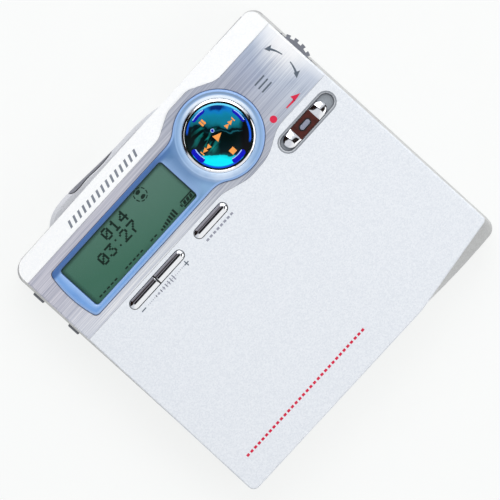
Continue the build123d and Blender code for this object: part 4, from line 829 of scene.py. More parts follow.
def moulding(
    name: str, middle: Point, size: Point, low: float, top: Heights, span: Optional[Point] = None, steps: int = 72
) -> Piece:
    """A round-ended bar along X whose top is given as a height over its own middle.

    Args:
        name: The piece's name.
        middle: The whole bar's middle.
        size: The whole bar's length and width.
        low: The height of its flat underside.
        top: The top's height at a place given from the middle.
        span: The part of the length that is made, from the middle, or all of it.
        steps: The number of steps along the length.

    Returns:
        The closed piece.
    """
    half, radius = size[0] / 2, size[1] / 2
    start, end = span or (-half, half)
    mesh = bmesh.new()
    rows = []
    for step in range(steps + 1):
        # steps gather at the ends, where the outline turns fastest
        u = start + (end - start) * (1 - math.cos(math.pi * step / steps)) / 2
        over = max(0.0, abs(u) - (half - radius))
        wide = math.sqrt(max(0.0, radius**2 - over**2))
        rows.append([(u, wide * -math.cos(math.pi * across / 20)) for across in range(21)])
    upper = [[mesh.verts.new(metres(middle[0] + u, middle[1] + v, top(u, v))) for u, v in row] for row in rows]
    lower = [[mesh.verts.new(metres(middle[0] + u, middle[1] + v, low)) for u, v in row] for row in rows]
    for grid in (upper, lower):
        for row, after in zip(grid, grid[1:]):
            for a, b, c, d in zip(row, row[1:], after[1:], after):
                mesh.faces.new((a, b, c, d))
    for row, under in ((upper[0], lower[0]), (upper[-1], lower[-1])):
        for a, b, c, d in zip(row, row[1:], under[1:], under):
            mesh.faces.new((a, b, c, d))
    for side in (0, -1):
        for (one, low_one), (two, low_two) in zip(zip(upper, lower), zip(upper[1:], lower[1:])):
            mesh.faces.new((one[side], two[side], low_two[side], low_one[side]))
    bmesh.ops.remove_doubles(mesh, verts=mesh.verts, dist=2e-6)
    return finished(name, mesh, 38.0)


def bullnose(depth: float, reach: float) -> float:
    """How high a rounded edge stands, as a share, at a depth behind the edge."""
    share = min(max(depth / reach, 0.0), 1.0)
    return math.sqrt(1 - (1 - share) ** 2)


def place(piece: Piece, body: str, finish: Finish, slot: str) -> Piece:
    """Give a piece its material and its body, and report it.

    Args:
        piece: The finished mesh, in its place.
        body: The CAD body that it rides on.
        finish: Its finish.
        slot: A material slot's name; not used.

    Returns:
        The same piece.
    """
    piece.data.materials.clear()
    piece.data.materials.append(finish.dress())
    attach(piece, body)
    log.info("%s: %d faces on %s", piece.name, len(piece.data.polygons), body)
    return piece


def dress_nodes(nodes: Mapping[str, Finish]) -> None:
    """Give CAD nodes their finishes, in their objects' own material slots."""
    for name, finish in nodes.items():
        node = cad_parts[name]
        if not node.material_slots:
            node.data.materials.append(None)
        for slot in node.material_slots:
            slot.material = finish.dress()
        log.info("%s: %s", name, finish.name)


# ------------------------------------------------------------ geometry trees
class Repeater:
    """A Geometry Nodes tree that is run once and kept as a plain mesh."""

    def __init__(self, name: str, sockets: Mapping[str, str]) -> None:
        """Open the tree.

        Args:
            name: The tree's name.
            sockets: Each input's name and its socket type.
        """
        self.tree = bpy.data.node_groups.new(name, "GeometryNodeTree")
        self.tree.interface.new_socket("Geometry", in_out="INPUT", socket_type="NodeSocketGeometry")
        for title, kind in {**sockets, "Material": "NodeSocketMaterial"}.items():
            self.tree.interface.new_socket(title, in_out="INPUT", socket_type=kind)
        self.tree.interface.new_socket("Geometry", in_out="OUTPUT", socket_type="NodeSocketGeometry")
        self.inputs = add(self.tree, "NodeGroupInput").outputs

    def close(self, geometry: Socket) -> "Repeater":
        """End the tree in real geometry that carries its material."""
        real = add(self.tree, "GeometryNodeRealizeInstances", {"Geometry": geometry}).outputs[0]
        dressed = add(self.tree, "GeometryNodeSetMaterial", {"Geometry": real, "Material": self.inputs["Material"]})
        add(self.tree, "NodeGroupOutput", {"Geometry": dressed.outputs[0]})
        return self

    def run(self, name: str, finish: Finish, values: Mapping[str, object], points: Sequence[Vector] = ()) -> Piece:
        """Make one piece.

        Args:
            name: The piece's name.
            finish: Its finish.
            values: The tree's inputs by name.
            points: Where the tree repeats on given points, these, in metres.

        Returns:
            The piece as a plain mesh.
        """
        seed = bpy.data.meshes.new(name + "_points")
        seed.from_pydata([tuple(point) for point in points], [], [])
        piece = bpy.data.objects.new(name, seed)
        bpy.context.scene.collection.objects.link(piece)
        modifier = piece.modifiers.new("repeat", "NODES")
        modifier.node_group = self.tree
        named = {item.name: item.identifier for item in self.tree.interface.items_tree if item.in_out == "INPUT"}
        for title, value in {**values, "Material": finish.dress()}.items():
            modifier[named[title]] = value
        evaluated = piece.evaluated_get(bpy.context.evaluated_depsgraph_get())
        data = bpy.data.meshes.new_from_object(evaluated)
        piece.modifiers.clear()
        piece.data = data
        bpy.data.meshes.remove(seed)
        return piece


def row_repeater() -> Repeater:
    """Prisms repeated along a straight row: dots, dashes, pins and ribs."""
    repeat = Repeater("row_of_prisms", {
        "Count": "NodeSocketInt", "Start": "NodeSocketVector", "Step": "NodeSocketVector",
        "Size": "NodeSocketVector", "Sides": "NodeSocketInt", "Turn": "NodeSocketVector",
    })
    tree, given = repeat.tree, repeat.inputs
    line = add(tree, "GeometryNodeMeshLine", {
        "Count": given["Count"], "Start Location": given["Start"], "Offset": given["Step"],
    })
    prism = add(tree, "GeometryNodeMeshCylinder", {"Vertices": given["Sides"], "Radius": 1.0, "Depth": 1.0})
    turned_prism = add(tree, "GeometryNodeTransform", {"Geometry": prism.outputs["Mesh"], "Rotation": given["Turn"]})
    copies = add(tree, "GeometryNodeInstanceOnPoints", {
        "Points": line.outputs["Mesh"], "Instance": turned_prism.outputs[0], "Scale": given["Size"],
    })
    return repeat.close(copies.outputs["Instances"])


def cross_repeater() -> Repeater:
    """Cross-shaped driver recesses on given points."""
    repeat = Repeater("driver_crosses", {"Length": "NodeSocketFloat", "Width": "NodeSocketFloat"})
    tree, given = repeat.tree, repeat.inputs
    bars = []
    for order in (("Length", "Width"), ("Width", "Length")):
        size = add(tree, "ShaderNodeCombineXYZ", {
            "X": given[order[0]], "Y": given[order[1]], "Z": given["Width"],
        }).outputs[0]
        bars.append(add(tree, "GeometryNodeMeshCube", {"Size": size}).outputs["Mesh"])
    joined = add(tree, "GeometryNodeMeshBoolean", operation="UNION")
    for bar in bars:
        tree.links.new(bar, joined.inputs["Mesh 2"])
    copies = add(tree, "GeometryNodeInstanceOnPoints", {
        "Points": given["Geometry"], "Instance": joined.outputs["Mesh"],
    })
    return repeat.close(copies.outputs["Instances"])


def thread_repeater() -> Repeater:
    """A screw thread: a three-sided wire wound along X."""
    repeat = Repeater("screw_thread", {
        "Turns": "NodeSocketFloat", "Length": "NodeSocketFloat", "Radius": "NodeSocketFloat",
        "Wire": "NodeSocketFloat", "Start": "NodeSocketVector",
    })
    tree, given = repeat.tree, repeat.inputs
    coil = add(tree, "GeometryNodeCurveSpiral", {
        "Resolution": 20, "Rotations": given["Turns"], "Start Radius": given["Radius"],
        "End Radius": given["Radius"], "Height": given["Length"],
    })
    wire = add(tree, "GeometryNodeCurvePrimitiveCircle", {"Resolution": 4, "Radius": given["Wire"]})
    tube = add(tree, "GeometryNodeCurveToMesh", {
        "Curve": coil.outputs["Curve"], "Profile Curve": wire.outputs["Curve"], "Fill Caps": True,
    })
    laid = add(tree, "GeometryNodeTransform", {
        "Geometry": tube.outputs["Mesh"], "Translation": given["Start"], "Rotation": (0.0, math.pi / 2, 0.0),
    })
    return repeat.close(laid.outputs[0])


def parts_repeater() -> Repeater:
    """Small surface-mounted parts scattered on a board by a fixed seed."""
    repeat = Repeater("board_parts", {
        "Width": "NodeSocketFloat", "Depth": "NodeSocketFloat", "Middle": "NodeSocketVector",
        "Share": "NodeSocketFloat", "Seed": "NodeSocketInt",
    })
    tree, given = repeat.tree, repeat.inputs
    grid = add(tree, "GeometryNodeMeshGrid", {
        "Size X": given["Width"], "Size Y": given["Depth"], "Vertices X": 12, "Vertices Y": 13,
    })
    laid = add(tree, "GeometryNodeTransform", {
        "Geometry": grid.outputs["Mesh"], "Translation": given["Middle"],
    })
    kept = add(tree, "FunctionNodeRandomValue", {"Probability": given["Share"], "Seed": given["Seed"]}, data_type="BOOLEAN")
    size = add(tree, "FunctionNodeRandomValue", {
        0: (0.6, 0.6, 0.7), 1: (1.6, 1.1, 1.2), "Seed": given["Seed"],
    }, data_type="FLOAT_VECTOR")
    part = add(tree, "GeometryNodeMeshCube", {"Size": (0.0008, 0.0005, 0.00045)})
    copies = add(tree, "GeometryNodeInstanceOnPoints", {
        "Points": laid.outputs[0], "Instance": part.outputs["Mesh"], "Scale": size.outputs[0],
        "Selection": kept.outputs[3],
    })
    return repeat.close(copies.outputs["Instances"])


# ------------------------------------------------------------- sub-assemblies
@dataclass
class Case:
    """The lower half: shell, belt, bulge, sockets, battery and board."""

    screw_points: Sequence[Point] = ((36.6, -31.0), (36.6, 30.5), (-36.6, 30.5), (-36.6, -14.3))
    deck_points: Sequence[Point] = ((32.6, -29.5), (32.0, 29.6), (-31.0, 29.6), (-10.5, -15.8))
    screw_face: float = 0.15
    deck_screw_face: float = 7.75
    cross_length: float = 1.5
    cross_width: float = 0.4
    board_middle: tuple[float, float, float] = (-23.6, -4.2, 6.05)
    chips: Sequence[tuple[Point, Point]] = (((-26.5, -7.5), (9.0, 9.0)), ((-17.25, -7.25), (5.5, 5.5)))
    chip_top: float = 5.85

    def finishes(self) -> None:
        """Dress the case's own CAD nodes."""
        jacks = ("headphone_jack", "line_jack", "microphone_jack", "power_jack", "side_switches", "board_chips")
        dress_nodes({
            "bottom_case": Paint.CASE.value, "side_frame": Paint.BELT.value, "case_screws": Metal.STEEL.value,
            "rear_bulge": Paint.BULGE.value, "jack_cover": Paint.COVER.value, "hinge_bracket": Metal.STEEL.value,
            "hinge_pin": Metal.STEEL.value, "main_board": Resin.BOARD.value, "battery": Paint.CELL.value,
            "battery_contacts": Metal.SPRING.value, "battery_door_pin": Metal.STEEL.value,
            "battery_door": Paint.CASE.value, "open_slider": Resin.KNOB.value, "latch_hook": Metal.STEEL.value,
            "hold_knob": Resin.KNOB.value, "far_side_button": Resin.KNOB.value, "near_side_button": Resin.KNOB.value,
            **{jack: Resin.DARK.value for jack in jacks},
        })

    def build(self, crosses: Repeater, row: Repeater, parts: Repeater) -> None:
        """Make the screws' crosses and the board's small parts."""
        size = {"Length": self.cross_length * MM, "Width": self.cross_width * MM}
        for name, points, face in (
            ("case_screw_crosses", self.screw_points, self.screw_face + self.cross_width / 2 - 0.02),
            ("deck_screw_crosses", self.deck_points, self.deck_screw_face - self.cross_width / 2 + 0.02),
        ):
            spots = [Vector(metres(x, y, face)) for x, y in points]
            place(crosses.run(name, Resin.DARK.value, size, spots), "base", Resin.DARK.value, "dark_plastic")
        scattered = parts.run("board_parts", Metal.STEEL.value, {
            "Width": 20.0 * MM, "Depth": 23.0 * MM, "Middle": metres(*self.board_middle), "Share": 0.4, "Seed": 7,
        })
        place(scattered, "base", Paint.CELL.value, "battery_silver")
        for index, (middle, size_mm) in enumerate(self.chips):
            for side in (-1, 1):
                count = int(size_mm[0] / 0.8)
                start = (middle[0] - (count - 1) * 0.4, middle[1] + side * (size_mm[1] / 2 + 0.25), self.chip_top + 0.12)
                pins = row.run(f"chip_{index}_pins_{'far' if side > 0 else 'near'}", Metal.STEEL.value, {
                    "Count": count, "Start": metres(*start), "Step": metres(0.8, 0, 0),
                    "Size": metres(0.2, 0.42, 0.24), "Sides": 4, "Turn": (0.0, 0.0, math.pi / 4),
                })
                place(pins, "base", Metal.STEEL.value, "steel")


@dataclass
class Drive:
    """The deck with its motor, turntable, sled, rods and lead screw."""

    screw_axis: Point = (16.4, 4.0)
    thread_span: Point = (9.6, 37.0)
    thread_pitch: float = 2.0
    centre_y: float = -0.8
    table_top: float = 7.7

    def finishes(self) -> None:
        """Dress the drive's CAD nodes."""
        dress_nodes({
            "chassis_plate": Metal.DECK.value, "guide_rods": Metal.STEEL.value, "spindle_motor": Metal.DECK.value,
            "sled_motor": Metal.DECK.value, "shock_mounts": Resin.RUBBER.value, "chassis_screws": Metal.STEEL.value,
            "turntable": Resin.DARK.value, "pickup_sled": Resin.DARK.value, "pickup_lens": Resin.LENS.value,
            "lead_screw": Metal.STEEL.value, "disc_holder": Metal.DECK.value,
        })

    def build(self, thread: Repeater) -> None:
        """Wind the lead screw's thread and lay the turntable's magnet ring."""
        start, end = self.thread_span
        wound = thread.run("lead_screw_thread", Metal.STEEL.value, {
            "Turns": (end - start) / self.thread_pitch, "Length": (end - start) * MM, "Radius": 0.78 * MM,
            "Wire": 0.14 * MM, "Start": metres(start, *self.screw_axis),
        })
        place(wound, "lead_screw", Metal.STEEL.value, "steel")
        ring = ribbon(arc((0.0, self.centre_y), 2.05, 0, 360, 32)[:-1], 0.7, closed=True)
        place(raised("turntable_magnet", ring, lambda x, y: 8.2, 0.03), "turntable", Metal.CHROME.value, "steel")


@dataclass
class Display:
    """The display under its window: digits, signs and its row of dashes."""

    face: float = 15.75
    ink: float = 0.03
    dot: Point = (0.4, 0.375)
    dot_gap: float = -0.08
    rows: Sequence[tuple[str, Sequence[Point]]] = (
        ("014", ((-18.85, 26.05), (-16.3, 26.05), (-13.75, 26.05))),
        ("0327", ((-23.4, 22.9), (-20.85, 22.9), (-16.35, 22.9), (-13.8, 22.9))),
    )
    figures: Mapping[str, Sequence[str]] = field(default_factory=lambda: {
        "0": (".###.", "#...#", "#..##", "#.#.#", "##..#", "#...#", ".###."),
        "1": ("..#..", ".##..", "..#..", "..#..", "..#..", "..#..", ".###."),
        "2": (".###.", "#...#", "....#", "...#.", "..#..", ".#...", "#####"),
        "3": ("#####", "...#.", "..#..", "...#.", "....#", "#...#", ".###."),
        "4": ("...#.", "..##.", ".#.#.", "#..#.", "#####", "...#.", "...#."),
        "7": ("#####", "....#", "...#.", "..#..", ".#...", ".#...", ".#..."),
    })
    disc_sign: Point = (-7.5, 26.4)
    cell_sign: Point = (-1.25, 18.1)
    dashes_y: float = 17.85

    def digit_cells(self, figure: str, middle: Point) -> list[Outline]:
        """The lit dots of one digit, as cells."""
        wide, high = self.dot
        size = (wide - self.dot_gap, high - self.dot_gap)
        return [
            rectangle((middle[0] + (column - 2) * wide, middle[1] + (3 - line) * high), size)
            for line, dots in enumerate(self.figures[figure]) for column, lit in enumerate(dots) if lit == "#"
        ]

    def finishes(self) -> None:
        """Dress the display's CAD nodes."""
        dress_nodes({
            "lcd_panel": Resin.DISPLAY.value, "display_window": Resin.WINDOW.value, "lid_board": Resin.BOARD.value, "dome_switches": Metal.SPRING.value,
        })

    def print_cells(self, name: str, cells: Iterable[Outline]) -> None:
        """Lay cells of display ink on the cell's face."""
        piece = raised(name, cells, lambda x, y: self.face, self.ink, 0.005)
        place(piece, "lid", Ink.DISPLAY.value, "display_green")

    def build(self, row: Repeater) -> None:
        """Lay the digits and signs, and repeat the dashes."""
        figures = [cell for text, spots in self.rows for one, spot in zip(text, spots)
                   for cell in self.digit_cells(one, spot)]
        colon = [rectangle((-18.6, y), (0.42, 0.42)) for y in (22.1, 23.7)]
        self.print_cells("display_digits", figures + colon)
        ring = [cell for start in range(0, 360, 45)
                for cell in ribbon(arc(self.disc_sign, 1.5, start + 7, start + 38, 4), 0.24)]
        lobes = [cell for start in (50, 230)
                 for cell in ribbon(arc(self.disc_sign, 0.72, start, start + 90, 8), (0.35,) + (0.8,) * 7 + (0.35,))]
        self.print_cells("display_disc_sign", ring + lobes)
        x, y = self.cell_sign
        box = ribbon([(x - 1.7, y - 0.65), (x + 1.7, y - 0.65), (x + 1.7, y + 0.65), (x - 1.7, y + 0.65)], 0.34, True)
        nub = [rectangle((x - 2.05, y), (0.36, 0.66))]
        charge = [turned([(-0.5, -0.4), (0.24, -0.4), (0.5, 0.4), (-0.24, 0.4)], (x + dx, y), 0)
                  for dx in (-0.98, 0.0, 0.98)]
        self.print_cells("display_battery_sign", box + nub + charge)
        levels = [rectangle((-10.0 + step * 0.78, 17.7 + 0.09 * step), (0.5, 0.5 + 0.18 * step)) for step in range(7)]
        self.print_cells("display_level_sign", levels)
        for name, start, count in (("left", -29.8, 5), ("right", -21.4, 5), ("end", -13.2, 2)):
            dashes = row.run(f"display_dashes_{name}", Ink.DISPLAY.value, {
                "Count": count, "Start": metres(start, self.dashes_y, self.face + 0.01), "Step": metres(1.22, 0, 0),
                "Size": metres(0.56, 0.24, 0.04), "Sides": 4, "Turn": (0.0, 0.0, math.pi / 4),
            })
            place(dashes, "lid", Ink.DISPLAY.value, "display_green")


@dataclass
class Bezel:
    """The blue frame round the window and the key, with rounded shoulders instead of plain bevels."""

    step: float = 0.32
    base: float = 15.2
    cut_height: float = 16.3
    shoulder: Sequence[tuple[float, float, float]] = (
        (0.0, 15.2, 0.0), (0.0, 16.42, 0.0), (0.03, 16.55, 0.06), (0.1, 16.68, 0.16), (0.22, 16.79, 0.3),
        (0.36, 16.86, 0.45), (0.52, 16.9, 0.62), (0.7, 16.91, 1.0),
    )
    lip: Sequence[tuple[float, float, float]] = (
        (0.0, 15.2, 0.1), (0.0, 16.62, 0.1), (0.1, 16.74, 0.24), (0.26, 16.83, 0.45), (0.45, 16.91, 0.75),
    )
    throat: Sequence[tuple[float, float, float]] = (
        (0.0, 15.2, 1.0), (0.0, 16.8, 1.0), (0.16, 16.9, 1.0), (0.5, 16.93, 0.85), (0.72, 16.91, 0.2),
    )

    def build(self) -> None:
        """Sweep the three profiles round the CAD bezel's own outlines, and fill between them."""
        outer, first, second = slice_of("display_bezel", self.cut_height, self.step)[:3]
        hole, window = sorted((first, second), key=lambda loop: sum(y for _, y in loop) / len(loop) / 100
                              - sum(x for x, _ in loop) / len(loop))
        mesh = bmesh.new()
        edge, ring = (mesh.verts.layers.float.new(name) for name in ("edge", "ring"))
        tops, bottoms = [], []
        for loop, profile, way in ((outer, self.shoulder, 1), (hole, self.throat, -1), (window, self.lip, -1)):
            rows = []
            for depth, height, deep in profile:
                row = [mesh.verts.new(metres(x, y, height)) for x, y in inset(loop, depth * way)]
                for vert in row:
                    vert[edge] = 1.0 if loop is hole else deep
                    vert[ring] = deep if loop is hole else 0.0
                rows.append(row)
            for row, after in zip(rows, rows[1:]):
                for a, b, c, d in zip(row, row[1:] + row[:1], after[1:] + after[:1], after):
                    mesh.faces.new((a, b, c, d))
            tops.append(rows[-1])
            bottoms.append(rows[0])
        for rows in (tops, bottoms):
            edges = [mesh.edges.get((a, b)) for row in rows for a, b in zip(row, row[1:] + row[:1])]
            bmesh.ops.triangle_fill(mesh, edges=edges, use_beauty=True, use_dissolve=False)
        piece = finished("bezel_frame", mesh, 60.0)
        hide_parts("display_bezel")
        place(piece, "lid", Resin.BEZEL.value, "bezel_blue")


@dataclass
class ControlKey:
    """The round mirror key and everything printed and let into its dome."""

    middle: Point = (13.52, 22.4)
    crest: float = 17.1
    dome_radius: float = 75.27
    ring: Outline = (
        (7.5, 15.5), (7.5, 16.84), (7.54, 16.92), (7.6, 16.95), (7.75, 16.92), (7.9, 16.875), (8.02, 16.83),
        (8.09, 16.77), (8.12, 16.66), (8.12, 15.5),
    )
    print_height: float = 0.03

    def dome(self, x: float, y: float) -> float:
        """The key's height at a place."""
        across = (x - self.middle[0]) ** 2 + (y - self.middle[1]) ** 2
        return self.crest - self.dome_radius + math.sqrt(self.dome_radius**2 - across)

    def at(self, x: float, y: float) -> Point:
        """A place given from the key's middle."""
        return (self.middle[0] + x, self.middle[1] + y)

    def finishes(self) -> None:
        """Dress the key's CAD nodes."""
        dress_nodes({
            "control_key": Resin.KEY.value, "key_plunger": Resin.DARK.value, "key_rocker": Resin.DARK.value,
        })

    def lay(self, name: str, cells: Iterable[Outline], finish: Finish, height: float) -> None:
        """Lay cells of one colour on the dome."""
        place(raised(name, cells, self.dome, height), "control_key", finish, "key_blue")

    def build(self) -> None:
        """Print the signs, set the four blue bars with painted highlights beside them, and the small guide dot."""
        def triangle(x: float, y: float, size: float, turn: float) -> Outline:
            """A triangle that points along X before it is turned."""
            return turned([(-size * 0.5, -size * 0.45), (size * 0.5, 0), (-size * 0.5, size * 0.45)], self.at(x, y), turn)

        signs = [
            rectangle(self.at(-0.62, 4.5), (0.46, 1.25)), rectangle(self.at(0.0, 4.5), (0.46, 1.25)),
            triangle(2.95, 0.1, 1.15, 0), triangle(4.05, 0.1, 1.15, 0), rectangle(self.at(4.8, 0.1), (0.26, 1.05)),
            triangle(-0.05, 0.04, 1.95, 0),
            triangle(-3.4, 0.0, 1.15, 180), triangle(-4.5, 0.0, 1.15, 180), rectangle(self.at(-5.25, 0.0), (0.26, 1.05)),
            rectangle(self.at(-0.3, -4.48), (1.3, 1.27)),
        ]
        self.lay("key_signs", signs, Ink.ORANGE.value, self.print_height)
        bars, painted_bar_glints = [], []
        for angle, radius, wide, glint in ((88, 6.3, 0.85, 0.26), (-2, 6.3, 0.85, 0.26), (267, 6.35, 1.3, -0.48),
                                           (177, 6.35, 1.3, -0.48)):
            widths = (wide * 0.45,) + (wide,) * 7 + (wide * 0.45,)
            bars += ribbon(arc(self.middle, radius, angle - 16, angle + 16, 8), widths)
            # painted highlights: pale lines beside the blue bars
            painted_bar_glints += ribbon(arc(self.middle, radius + glint, angle - 14, angle + 14, 8), 0.2)
        self.lay("key_blue_bars", bars, Ink.BLUE.value, 0.05)
        self.lay("key_bar_painted_glints", painted_bar_glints, Ink.SKY.value, 0.065)
        dot = self.at(-0.1, 1.75)
        self.lay("key_guide_dot", [disc(dot, 0.3, 16)], Ink.BLUE.value, 0.12)
        self.lay("key_guide_ring", ribbon(arc(dot, 0.38, 0, 360, 20)[:-1], 0.13, closed=True), Ink.SKY.value, 0.1)
        ring = lathe("key_ring_bead", self.ring, self.middle, 128)
        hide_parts("key_ring")
        place(ring, "lid", Metal.CHROME.value, "bright_chrome")


@dataclass
class SlimKeys:
    """The two volume keys and the group key: slim chromed bars with fully rounded crowns."""

    row_y: float = 11.2
    width: float = 2.3
    volume_x: float = -18.86
    volume_length: float = 16.7
    group_x: float = -1.37
    group_length: float = 9.8
    split: float = 0.34
    # size of the black piece laid in the split between the volume keys as its painted shadow
    split_shadow: Point = (0.34, 2.2)
    foot: float = 16.0
    shoulder: float = 16.38
    rise: float = 0.42
    nose: float = 1.1
    end_nose: float = 0.16

    def build(self) -> None:
        """Mould the three crowns over their keys."""
        half = self.volume_length / 2
        for node, x, length, span in (
            ("volume_down_key", self.volume_x, self.volume_length, (-half, -self.split / 2)),
            ("volume_up_key", self.volume_x, self.volume_length, (self.split / 2, half)),
            ("group_key", self.group_x, self.group_length, None),
        ):
            def top(u: float, v: float, length: float = length, span: Optional[Point] = span) -> float:
                """The crown's height at a place."""
                over = max(0.0, abs(u) - (length - self.width) / 2)
                depth = self.width / 2 - math.hypot(over, v)
                share = bullnose(depth, self.nose)
                if span:
                    share = min(share, bullnose(abs(u) - self.split / 2 + 0.05, self.end_nose))
                return self.shoulder + self.rise * share

            piece = moulding(node + "_crown", (x, self.row_y), (length, self.width), self.foot, top, span)
            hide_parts(node)
            place(piece, node, Metal.CHROME.value, "bright_chrome")
        # painted shadow: a black piece in the split between the volume keys
        split_shadow = raised("volume_key_split_shadow", [rectangle((self.volume_x, self.row_y), self.split_shadow)], lambda x, y: 16.5, 0.22, 0.4)
        place(split_shadow, "lid", Resin.RUBBER.value, "black_rubber")
        # painted shadow: thin dark rings on the plate round the keys, where their gaps lie in shade
        outlines = [capsule_ring((x, self.row_y), length + 0.16, self.width + 0.16, 0.13)
                    for x, length in ((self.volume_x, self.volume_length), (self.group_x, self.group_length))]
        gap = raised("slim_key_gap_shadows", [cell for cells in outlines for cell in cells], lambda x, y: 16.4, 0.012)
        place(gap, "lid", Resin.DARK.value, "dark_plastic")


@dataclass
class Lid:
    """The lid's plates and the signs printed on them."""

    top: float = 16.4
    print_height: float = 0.02
    strip_seam_y: float = 31.5
    strip_top: float = 16.25
    strip_fall: float = 0.55 / 4.5

    def flat(self, x: float, y: float) -> float:
        """The height of the plate and the brushed band."""
        return self.top

    def strip(self, x: float, y: float) -> float:
        """The height of the strip, which falls towards the hinge."""
        return self.strip_top - (y - self.strip_seam_y) * self.strip_fall

    def finishes(self) -> None:
        """Dress the lid's CAD nodes."""
        dress_nodes({
            "lid_frame": Paint.SIDES.value, "lid_plate": Paint.PLATE.value, "brushed_panel": Paint.BAND.value,
            "rear_strip": Paint.STRIP.value, "lid_liner": Metal.LINER.value, "thumb_wheel": Resin.WHEEL.value,
            "wheel_carriage": Resin.DARK.value,
        })

    def sign(self, name: str, cells: Iterable[Outline], ink: Ink, slot: str, surface: Optional[Heights] = None) -> None:
        """Print cells of one ink on the lid."""
        place(raised(name, cells, surface or self.flat, self.print_height), "lid", ink.value, slot)

    def build(self, row: Repeater) -> None:
        """Print the lid's signs."""
        self.sign("volume_signs", [
            rectangle((-25.65, 8.85), (1.3, 0.24)), rectangle((-11.85, 8.85), (1.3, 0.24)),
            rectangle((-11.85, 9.25), (0.24, 0.56)), rectangle((-11.85, 8.45), (0.24, 0.56)),
        ], Ink.GREY, "pearl_paint")
        dots = row.run("volume_dots", Ink.MIST.value, {
            "Count": 23, "Start": metres(-24.2, 8.85, self.top + 0.005), "Step": metres(0.52, 0, 0),
            "Size": metres(0.11, 0.11, 0.03), "Sides": 10, "Turn": (0.0, 0.0, 0.0),
        })
        place(dots, "lid", Ink.MIST.value, "pearl_paint")
        wedge = [rectangle((-21.6 + step * 0.8, 8.85), (0.26, 0.45 + 0.13 * step)) for step in range(8)]
        self.sign("volume_level_sign", wedge, Ink.MIST, "pearl_paint")
        group = [rectangle((-4.9 + step * 1.1, 8.85), (0.7, 0.5)) for step in range(8)]
        self.sign("group_sign", group, Ink.MIST, "pearl_paint")
        arrow = ribbon([(27.9, 15.5), (29.2, 15.46), (30.35, 15.42)], (0.3, 0.4, 0.48))
        arrow.append([(30.2, 15.17), (32.35, 15.45), (30.35, 16.55)])
        self.sign("record_sign", arrow + [disc((24.2, 15.95), 0.82)], Ink.RED, "brushed_silver")
        self.build_wheel_sign()
        menu = [rectangle((28.4, 22.8 + dy), (3.0, 0.34)) for dy in (-1.1, 0.0, 1.1)]
        self.sign("menu_sign", menu, Ink.GREY, "brushed_silver")
        slant = [turned([(-0.62, -0.8), (-0.02, -0.8), (0.62, 0.8), (0.02, 0.8)], (-22.6 + step * 1.5, 33.35), 0)
                 for step in range(15)]
        self.sign("strip_ticks", slant, Ink.PALE, "strip_white", self.strip)
        dashes = row.run("plate_dashes", Ink.RED.value, {
            "Count": 32, "Start": metres(-34.0, -29.5, self.top + 0.005), "Step": metres(1.2, 0, 0),
            "Size": metres(0.52, 0.4, 0.03), "Sides": 4, "Turn": (0.0, 0.0, math.pi / 4),
        })
        place(dashes, "lid", Ink.RED.value, "pearl_paint")

    def build_wheel_sign(self) -> None:
        """Print the two turning arrows beside the thumb wheel."""
        middle, radius = (28.2, 22.95), 7.8
        cells = []
        for start, end, tip in ((8, 29, 39), (-9, -28, -38)):
            widths = [0.22 + 0.035 * step for step in range(9)]
            cells += ribbon(arc(middle, radius, start, end, 8), widths)
            base, point = arc(middle, radius, end, end, 1)[0], arc(middle, radius - 0.15, tip, tip, 1)[0]
            out = Vector((base[0] - middle[0], base[1] - middle[1])).normalized()
            cells.append([(base[0] + out.x, base[1] + out.y), point, (base[0] - out.x * 0.5, base[1] - out.y * 0.5)])
        self.sign("wheel_turn_sign", cells, Ink.GREY, "brushed_silver")


